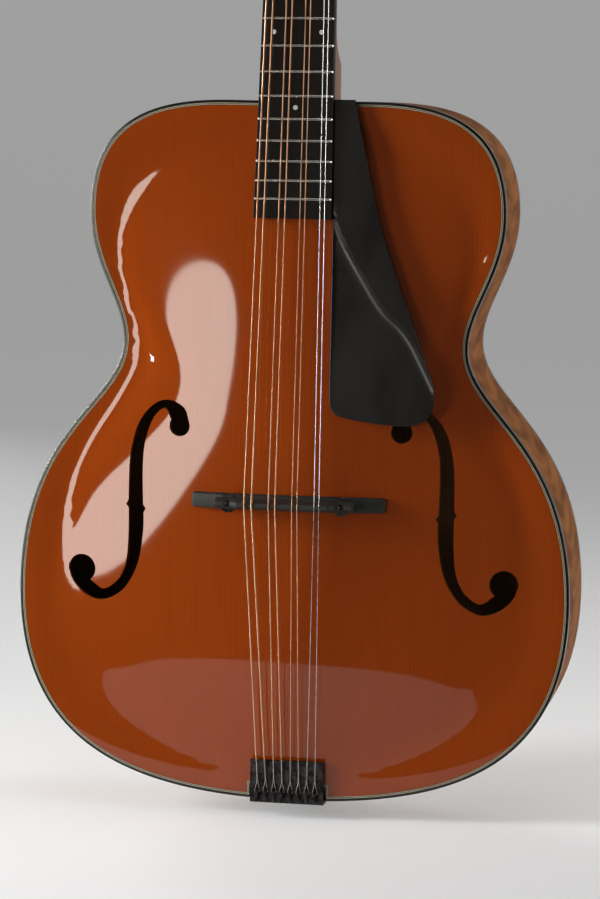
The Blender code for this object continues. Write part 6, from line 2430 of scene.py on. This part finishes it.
@dataclass
class Bridge(Assembly):
    """Base fitted to the arch, two threaded posts, two thumbwheels and the saddle."""

    arch: Arching
    base_half: float = 0.0625
    base_width: float = 0.010
    base_crown: float = -0.0541
    base_thickness: float = 0.007
    base_tip: float = 0.0035
    base_turn: float = 0.0015
    base_edge: float = 0.0006
    base_steps: int = 64
    base_overlap: float = 0.00005
    base_shoulders: tuple[Flat, ...] = ((1.6, 0.93), (0.4, 0.88), (0.0, 0.80))
    post_offset: float = 0.0365
    post_radius: float = 0.0019
    post_foot: float = 0.005
    post_end: float = 0.0046
    thread_half: float = 0.00025
    thread_root: float = 0.88
    wheel_radius: float = 0.0062
    wheel_edge: float = 0.0006
    wheel_flat: float = 0.0005
    wheel_clear: float = 0.0002
    knurls: int = 24
    knurl_depth: float = 0.00022
    wheel_low: float = -0.05592
    wheel_high: float = -0.05852
    saddle_low: float = -0.05882
    saddle_half: float = 0.0445
    saddle_end_height: float = 0.0042
    saddle_shoulder: float = 0.029
    saddle_step: float = 0.006
    saddle_foot: float = 0.007
    saddle_crest: float = 0.0032
    saddle_round: float = 0.0012
    saddle_lip: float = 0.0004
    saddle_steps: int = 60
    saddle_insets: tuple[float, ...] = (0.0001, 0.0003, 0.0006, 0.001)
    saddle_shoulders: tuple[Flat, ...] = ((0.0008, 1.05), (0.0002, 0.85), (0.0, 0.5))
    bore_radius: float = 0.0021
    bore_margin: float = 0.002

    def build(self) -> None:
        """Builds the bridge."""
        self.base()
        for side in Side:
            self.post(side)
            self.wheel(side)
        self.saddle()

    def foot(self, x: float, z: float) -> float:
        """Level of the soundboard under the base."""
        return LAYOUT.rim - self.arch.at(x, z)

    @staticmethod
    def end_round(x: float, half: float, radius: float) -> float:
        """How far a bar's rounded end falls away.

        Args:
            x: Place across.
            half: Half length of the bar.
            radius: Radius of its end.

        Returns:
            0 before the rounding, 1 at the bar's end.
        """
        end = max(0.0, (abs(x) - (half - radius)) / radius)
        return 1 - sqrt(max(0.0, 1 - end ** 2))

    def base(self) -> None:
        """Builds the base, thinning towards its ends."""
        loops, z = [], LAYOUT.bridge
        for step in range(self.base_steps + 1):
            share = -1 + 2 * step / self.base_steps
            share = copysign(1 - (1 - abs(share)) ** 1.25, share) if share else 0.0
            x = self.base_half * share
            foot = min(self.foot(x, z + way * self.base_width / 2) for way in (-1, 1))
            top = max(self.base_crown, foot - self.base_tip
                      - (self.base_thickness - self.base_tip) * (1 - abs(share)) * 2)
            turned = self.end_round(x, self.base_half, self.base_turn)
            half = self.base_width / 2 * (1 - 0.2 * turned)
            top += self.base_edge * turned
            shoulders = [(top + self.base_edge * fall, half * wide) for fall, wide in self.base_shoulders]
            loops.append([(x, self.foot(x, z + half) - self.base_overlap, z + half),
                          (x, self.foot(x, z - half) - self.base_overlap, z - half),
                          *((x, level, z - wide) for level, wide in shoulders),
                          *((x, level, z + wide) for level, wide in reversed(shoulders))])
        self.piece(Shape().skin(loops), "bridge_foot", (EBONY,), "body", "bridge_base", crease=45)

    def post(self, side: Side) -> None:
        """Builds one threaded post.

        Args:
            side: Its side.
        """
        low, high = self.base_crown + self.post_foot, LAYOUT.crest + self.post_end
        profile = [(self.post_radius * 0.98, low)]
        for step in range(int((low - high) / self.thread_half)):
            radius = self.post_radius * (1.0 if step % 2 else self.thread_root)
            profile.append((radius, low - self.thread_half * (step + 1)))
        profile.append((self.post_radius * 0.8, high))
        shape = Shape().turned(profile, 20, facing_front(side.value * self.post_offset, LAYOUT.bridge))
        self.piece(shape, f"bridge_stud_{side.word}", (BLACK_METAL,), "body", f"bridge_post_{side.word}",
                   crease=50)

    def wheel(self, side: Side) -> None:
        """Builds one knurled thumbwheel.

        Args:
            side: Its side.
        """
        bore, wide = self.post_radius + self.wheel_clear, self.wheel_radius
        near, low, high = wide - self.wheel_edge, self.wheel_low, self.wheel_high
        place = facing_front(side.value * self.post_offset, LAYOUT.bridge)
        loops = []
        rings = ((bore, low, False), (near, low, False), (wide, low - self.wheel_flat, True),
                 (wide, high + self.wheel_flat, True), (near, high, False), (bore, high, False))
        for radius, y, knurled in rings:
            loop = []
            for step, angle in enumerate(sweep(FULL_TURN, 4 * self.knurls)[:-1]):
                reach = radius - (self.knurl_depth if knurled and step % 4 in (0, 1) else 0.0)
                loop.append(place(reach * cos(angle), reach * sin(angle), y))
            loops.append(loop)
        self.piece(Shape().skin(loops, closed=True), f"knurled_wheel_{side.word}", (BLACK_METAL,),
                   f"wheel_{side.word}", f"thumbwheel_{side.word}", crease=30)

    def saddle_top(self, x: float) -> float:
        """Level of the saddle's upper edge.

        Args:
            x: Place across the saddle.

        Returns:
            The level along Y.
        """
        end = self.saddle_low - self.saddle_end_height
        share = min(1.0, max(0.0, (abs(x) - self.saddle_shoulder) / self.saddle_step))
        return LAYOUT.crest + (end - LAYOUT.crest) * share * share * (3 - 2 * share)

    def saddle(self) -> None:
        """Builds the saddle with its string notches and its two bores."""
        cuts = dict(notch_stations(self.saddle_shoulder - 0.001, STRINGS.at_saddle()))
        known = sorted(cuts)
        drops = [cuts[place] for place in known]
        places = {self.saddle_half * step / self.saddle_steps
                  for step in range(-self.saddle_steps, self.saddle_steps + 1)}
        places.update(cuts)
        places.update(way * (self.saddle_half - inner) for way in (-1, 1) for inner in self.saddle_insets)
        loops, z, low = [], LAYOUT.bridge, self.saddle_low
        for x in sorted(places):
            turned = self.end_round(x, self.saddle_half, self.saddle_round)
            pull = 1 - 0.30 * turned
            top = self.saddle_top(x) + float(np.interp(x, known, drops)) + self.saddle_lip * turned
            foot, crest = self.saddle_foot / 2 * pull, self.saddle_crest / 2 * pull
            sides = [(low - (low - top) * 0.30, foot * 0.99)]
            sides += [(top + fall, crest * wide) for fall, wide in self.saddle_shoulders]
            loops.append([(x, low, z + foot), (x, low, z - foot), *((x, y, z - wide) for y, wide in sides),
                          *((x, y, z + wide) for y, wide in reversed(sides))])
        made = Shape().skin(loops).build("bridge_saddle_carved", (EBONY,), crease=45)
        bores = Shape()
        ends = (self.saddle_low + self.bore_margin, LAYOUT.crest - self.bore_margin)
        for side in Side:
            bores.turned([(self.bore_radius, y) for y in ends], 32,
                         facing_front(side.value * self.post_offset, LAYOUT.bridge))
        carve(made, bores)
        self.settle(made, "saddle", "bridge_saddle")


def carve(piece: Piece, tool: Shape) -> None:
    """Cuts a shape out of a piece and keeps the result as the piece's mesh.

    Args:
        piece: The piece.
        tool: The shape to cut away.
    """
    mesh = bpy.data.meshes.new("carving_tool")
    mesh.from_pydata(tool.points, [], tool.faces)
    cutter = bpy.data.objects.new("carving_tool", mesh)
    bpy.context.scene.collection.objects.link(cutter)
    crease = 40.0
    cut = piece.modifiers.new("bores", "BOOLEAN")
    cut.operation = "DIFFERENCE"
    cut.solver = "EXACT"
    cut.object = cutter
    bpy.context.view_layer.update()
    result = bpy.data.meshes.new_from_object(piece.evaluated_get(bpy.context.evaluated_depsgraph_get()))
    piece.modifiers.clear()
    piece.data = result
    result.set_sharp_from_angle(angle=radians(crease))
    bpy.data.objects.remove(cutter)
    bpy.data.meshes.remove(mesh)


@dataclass
class Tailpiece(Assembly):
    """Plate bent over the tail's edge with eight hooks, its screws and the end pin."""

    half: float = 0.0241
    reach: float = 0.0268
    plate: float = 0.0015
    flange_depth: float = 0.034
    low: float = 0.0022
    bend: float = 0.0024
    hook_width: float = 0.0022
    hook_plate: float = 0.0012
    hook_rise: float = 0.0034
    hook_z: float = 0.0072
    hook_reach: float = 0.0078
    hook_turn: float = 0.0015
    hook_root: float = 0.0006
    hook_middle: float = 0.004
    hook_tip: float = 0.72
    hook_section: tuple[Flat, ...] = (
        (-1, -0.7), (-0.75, -1), (0.75, -1), (1, -0.7), (1, 0.7), (0.75, 1), (-0.75, 1), (-1, 0.7))
    screw_offset: float = 0.015
    screw_depth: float = 0.021
    screw_radius: float = 0.003
    screw_height: float = 0.0016
    screw_shank: tuple[Flat, ...] = ((0.0015, 0.0002), (0.0015, 0.0115), (0.0004, 0.0130))
    pin_depth: float = 0.045
    pin_face: float = 0.011
    pin_turning: tuple[Flat, ...] = (
        (0.0012, 0.0), (0.0049, 0.0), (0.0058, 0.0003), (0.0064, 0.0010), (0.0065, 0.0018),
        (0.0063, 0.0028), (0.0057, 0.0036), (0.0049, 0.0046), (0.0044, 0.0062), (0.0043, 0.0080),
        (0.0045, 0.0094), (0.0052, 0.0100), (0.0054, 0.0104))
    pin_root: tuple[Flat, ...] = ((0.0054, 0.0), (0.0035, 0.0), (0.0034, 0.012))

    def build(self) -> None:
        """Builds tailpiece, screws and end pin."""
        self.plate_and_hooks()
        self.screws()
        self.end_pin()
        self.dress_node("guard_pin", PLAIN_STEEL)

    def plate_and_hooks(self) -> None:
        """Builds the bent plate and its hooks."""
        low = LAYOUT.rim - self.low
        high = low - self.plate
        near = LAYOUT.bottom - LAYOUT.gap
        far = near - self.plate
        start, flange = LAYOUT.bottom + self.reach, LAYOUT.rim + self.flange_depth
        outer = rounded(high, far, self.bend, 8)
        inner = rounded(low, near, self.bend - self.plate, 6)
        profile = [(low, start), (high, start), *outer, (flange, far), (flange, near), *reversed(inner)]
        shape = Shape().prism(profile, -self.half, self.half, sideways)
        path = self.hook_path(high)
        for index in range(len(STRINGS.strands)):
            self.hook(shape, STRINGS.hook(index), path)
        self.piece(shape, "bent_tailpiece", (BLACK_METAL,), "body", "tailpiece", crease=40, bevel=0.00025)

    def hook_path(self, high: float) -> list[Flat]:
        """Side view of a hook's middle.

        Args:
            high: Level of the plate's face.

        Returns:
            The points as (y, z), from the plate to the hook's tip.
        """
        low, turn = LAYOUT.bottom + self.hook_z, self.hook_turn
        middle, rise = low + self.hook_plate / 2, high - self.hook_rise
        bend = rise - self.hook_root + turn
        path = [(high + self.hook_root, middle), (bend, middle)]
        path += [(bend - turn * sin(a), middle - turn * (1 - cos(a)))
                 for a in sweep(QUARTER_TURN, 6)[1:]]
        return [*path, (rise - self.hook_root, low - self.hook_middle),
                (rise - 0.0004, low - self.hook_reach + 0.0003)]

    def hook(self, shape: Shape, x: float, path: Sequence[Flat]) -> None:
        """Adds one hook, narrower at its tip.

        Args:
            shape: Shape that it is added to.
            x: Place across.
            path: Side view of its middle.
        """
        loops = []
        for place, (y, z) in enumerate(path):
            before, after = path[max(place - 1, 0)], path[min(place + 1, len(path) - 1)]
            along = Vector((0, after[0] - before[0], after[1] - before[1])).normalized()
            out = along.cross(Vector((1, 0, 0))) * self.hook_plate / 2
            wide = self.hook_width / 2 * (self.hook_tip if place == len(path) - 1 else 1.0)
            middle = Vector((x, y, z))
            loops.append([tuple(middle + Vector((wide * a, 0, 0)) + out * b) for a, b in self.hook_section])
        shape.skin(loops)

    def screws(self) -> None:
        """Builds the two screws of the flange."""
        under = LAYOUT.bottom - 2 * LAYOUT.gap - self.plate
        for side in Side:
            place = upright(side.value * self.screw_offset, LAYOUT.rim + self.screw_depth)
            shape = Shape()
            slotted_head(shape, self.screw_radius, self.screw_height,
                         lambda a, b, height: place(a, b, under - height))
            shape.turned([(radius, under + up) for radius, up in self.screw_shank], 16, place)
            self.piece(shape, f"tail_screw_{side.word}", (NICKEL,), "body",
                       f"tailpiece_screw_{side.word}", crease=30)

    def end_pin(self) -> None:
        """Builds the turned end pin."""
        face, seat = LAYOUT.bottom - self.pin_face, LAYOUT.bottom - LAYOUT.gap
        profile = [(radius, face + up) for radius, up in self.pin_turning]
        profile += [(radius, seat + up) for radius, up in self.pin_root]
        shape = Shape().turned(profile, 36, upright(0.0, LAYOUT.rim + self.pin_depth))
        self.piece(shape, "turned_end_pin", (EBONY,), "body", "end_pin", crease=40)


@dataclass
class Guard(Assembly):
    """Raised ebony guard with a carved crease, over its standoff; its pin is dressed with the tailpiece."""

    drop: float = 0.0025
    thickness: float = 0.0034
    cove: float = 0.0016
    cove_length: float = 0.0048
    cove_turn: float = 2.0
    cove_steps: tuple[float, ...] = (0.0, 0.12, 0.25, 0.4, 0.6, 0.8, 1.0)
    pitch: float = 0.0035
    margin: float = 0.0007
    board_gap: float = 0.0004
    edge: tuple[Flat, ...] = (
        (0.0375, -0.0012), (0.0440, 0.0268), (0.0520, 0.0606), (0.0597, 0.0876), (0.0734, 0.1252),
        (0.0869, 0.1614), (0.0921, 0.1748), (0.0934, 0.1845), (0.0921, 0.1937), (0.0867, 0.1994),
        (0.0772, 0.2024), (0.0634, 0.2021), (0.0496, 0.2006), (0.0357, 0.1983), (0.0300, 0.1957),
        (0.0271, 0.1904), (0.0265, 0.1808))
    crease: tuple[Flat, ...] = (
        (0.0200, 0.0560), (0.0249, 0.0671), (0.0349, 0.0881), (0.0466, 0.1082), (0.0597, 0.1282),
        (0.0710, 0.1388), (0.0796, 0.1494), (0.0869, 0.1627), (0.0960, 0.1800))

    def outline(self) -> list[Flat]:
        """Closed edge of the guard.

        Returns:
            The points, clockwise from the fingerboard at the body's upper end.
        """
        top = LAYOUT.top - self.edge[0][1]
        curve = flowing([(x, LAYOUT.top - down) for x, down in self.edge], 5)
        side = [(LAYOUT.board_half(z) + self.board_gap, z) for z in np.linspace(LAYOUT.board_end, top, 14)]
        return curve + side

    def crease_line(self, beyond: float) -> list[Flat]:
        """Line of the crease, moved towards the side on which the guard falls away.

        Args:
            beyond: How far it is moved.

        Returns:
            The points, from the fingerboard down to the free edge.
        """
        line = np.array(flowing([(x, LAYOUT.top - down) for x, down in self.crease], 6))
        along = np.gradient(line, axis=0)
        along /= np.linalg.norm(along, axis=1)[:, None]
        moved = line + np.stack((along[:, 1], -along[:, 0]), axis=1) * beyond
        return [tuple(place) for place in moved]

    def build(self) -> None:
        """Builds the guard, its front edge rounded, over its standoff."""
        outline = self.outline()
        folds = []
        for share in self.cove_steps:
            line = np.array(self.crease_line(share * self.cove_length))
            clear = within(line, outline) & (distance_to(line, outline, True)[0] > self.margin)
            folds.append([tuple(place) for place in line[clear]])
        flat, triangles, rims = cut_sheet(outline, [], self.pitch, folds)
        far, side = distance_to(flat, self.crease_line(0.0), False)
        share = np.clip(np.where(side > 0, far, 0.0) / self.cove_length, 0, 1)
        fall = self.cove * (1 - (1 - share) ** self.cove_turn)
        base = np.array([LAYOUT.board(z) for z in flat[:, 1]])
        face = np.stack((flat[:, 0], base + self.drop + fall, flat[:, 1]), axis=1)
        rear = np.stack((flat[:, 0], base + self.drop + self.thickness, flat[:, 1]), axis=1)
        count, rim = len(flat), rims[0]
        ring = list(zip(rim, rim[1:] + rim[:1]))
        walls = [(here, after, count + after, count + here) for here, after in ring]
        rear_faces = [(count + a, count + c, count + b) for a, b, c in triangles]
        shape = Shape().add([*face, *rear], [*triangles, *rear_faces, *walls])
        made = shape.build("raised_guard", (GUARD_EBONY,), crease=28, bevel=0.0005)
        made.modifiers["rounding"].limit_method = "WEIGHT"
        weight = made.data.attributes.new("bevel_weight_edge", "FLOAT", "EDGE")
        edges = {frozenset(pair) for pair in ring}
        for edge in made.data.edges:
            weight.data[edge.index].value = 1.0 if frozenset(edge.vertices) in edges else 0.0
        self.settle(made, "body", "pickguard")
        self.dress_node("guard_standoff", EBONY)


# Studio


@dataclass(frozen=True)
class Paper(Finish):
    """Pale matt floor and backdrop, with a glow that only the camera, gloss and glass see."""

    glow: float = 0.3
    spread: float = 0.1
    size: float = 3.0

    def dress(self, surface: Surface) -> None:
        """Slight drift in the paper's roughness, and its glow.

        Args:
            surface: The material's surface.
        """
        skin = surface.use(
            Effect.mottle(), Vector=surface.coordinates(), Base=(*self.colour, 1), Drift=(*self.colour, 1),
            Amount=0.0, Roughness=self.roughness, Spread=self.spread, Size=self.size)
        ray = surface.node("ShaderNodeLightPath").outputs
        seen = surface.maths("MAXIMUM", ray["Is Camera Ray"], ray["Is Glossy Ray"])
        seen = surface.maths("MAXIMUM", seen, ray["Is Transmission Ray"])
        glowing = surface.blend(seen, (0.0, 0.0, 0.0, 1.0), (self.glow, self.glow, self.glow, 1.0))
        surface.put({"Roughness": skin["Roughness"], "Emission Color": glowing, "Emission Strength": 1.0})


PAPER = Paper("studio_paper", "bone", (0.72, 0.72, 0.72), 0.9, specular=0.0, glow=0.28)


class LampShape(Enum):
    """Outline of a lamp's face."""

    STRAIGHT = "RECTANGLE"
    OVAL = "ELLIPSE"


@dataclass(frozen=True)
class Lamp:
    """Soft lamp aimed at a point."""

    name: str
    where: Point
    aim: Point
    size: tuple[float, float]
    power: float
    roll: float = 0.0
    colour: Colour = (1.0, 1.0, 1.0)
    shape: LampShape = LampShape.STRAIGHT
    spread: float = 180.0

    def hang(self) -> None:
        """Places the lamp."""
        data = bpy.data.lights.new(self.name, "AREA")
        data.shape = self.shape.value
        data.spread = radians(self.spread)
        data.size, data.size_y = self.size
        data.energy = self.power
        data.color = self.colour
        lamp = bpy.data.objects.new(self.name, data)
        lamp.location = self.where
        facing = (Vector(self.aim) - Vector(self.where)).to_track_quat("-Z", "Y")
        lamp.rotation_euler = (facing @ Quaternion((0, 0, 1), radians(self.roll))).to_euler()
        bpy.context.scene.collection.objects.link(lamp)


@dataclass
class Studio:
    """Pale floor and backdrop, soft lamps and the camera."""

    floor_level: float = -0.78483
    floor_front: float = -0.31
    camera_place: Point = (0.3708, -2.0306, -0.3263)
    camera_right: Point = (0.9832, 0.1817, 0.0151)
    camera_up: Point = (-0.0342, 0.1026, 0.9941)
    lens: float = 127.95
    sensor: float = 36.0
    wall: float = 7.4
    turn: float = 1.5
    wall_top: float = 3.6
    half_width: float = 8.0
    lamps: tuple[Lamp, ...] = (
        Lamp("shine_softbox", (-1.852, -3.623, -0.76), (-0.09, -0.04, -0.52), (0.728, 1.931), 33.0,
             roll=-38.46, colour=(1.0, 0.94, 0.84), shape=LampShape.OVAL),
        Lamp("left_key", (-1.15, -0.52, -0.28), (0.0, -0.05, -0.50), (0.35, 0.60), 6.5, spread=110.0),
        Lamp("right_fill", (2.0, 0.30, -0.10), (0.0, 0.02, -0.45), (0.9, 0.9), 2.6, spread=60.0),
        Lamp("top_fill", (0.2, -0.6, 1.9), (0.0, 0.0, -0.5), (1.2, 1.2), 7.0),
        Lamp("back_fill", (-1.7, 2.3, -0.15), (0.0, 0.05, -0.40), (1.0, 1.0), 9.0, spread=60.0),
    )
    sky: float = 0.08

    def build(self) -> None:
        """Builds the studio round the instrument."""
        self.sheet()
        for lamp in self.lamps:
            lamp.hang()
        world = bpy.data.worlds.new("studio")
        world.use_nodes = True
        bpy.context.scene.world = world
        back = world.node_tree.nodes["Background"]
        back.inputs["Color"].default_value = (1, 1, 1, 1)
        back.inputs["Strength"].default_value = self.sky
        self.camera()
        bpy.context.scene.view_settings.view_transform = "Standard"

    def sheet(self) -> None:
        """Builds the paper: floor, sweep and wall in one sheet."""
        level, wall, turn = self.floor_level, self.wall, self.turn
        profile = [(self.floor_front, level)]
        profile += [(wall - turn + turn * sin(a), level + turn - turn * cos(a))
                    for a in sweep(QUARTER_TURN, 16)]
        profile.append((wall, self.wall_top))
        points = [(x, y, z) for y, z in profile for x in (-self.half_width, self.half_width)]
        faces = [(2 * i, 2 * i + 1, 2 * i + 3, 2 * i + 2) for i in range(len(profile) - 1)]
        paper = Shape().add(points, faces).build("studio_floor", (PAPER,), crease=60, outward=False)
        log.info("studio_floor: staged")

    def camera(self) -> None:
        """Places the camera at the photograph's viewpoint."""
        data = bpy.data.cameras.new("camera")
        data.sensor_width = self.sensor
        data.sensor_fit = "AUTO"
        data.lens = self.lens
        right, up = Vector(self.camera_right), Vector(self.camera_up)
        turned = Matrix((right, up, right.cross(up))).transposed().to_4x4()
        camera = bpy.data.objects.new("camera", data)
        camera.matrix_world = Matrix.Translation(Vector(self.camera_place)) @ turned
        bpy.context.scene.collection.objects.link(camera)
        bpy.context.scene.camera = camera


def main() -> None:
    """Builds the instrument and its studio."""
    logging.basicConfig(level=logging.INFO, format="%(name)s: %(message)s")
    soundbox = Soundbox()
    bridge = Bridge(soundbox.top_arch)
    for assembly in (soundbox, Neck(), Tuners(), bridge, Guard(), Tailpiece(), StringSet()):
        assembly.build()
    Studio().build()


if __name__ == "__main__":
    main()
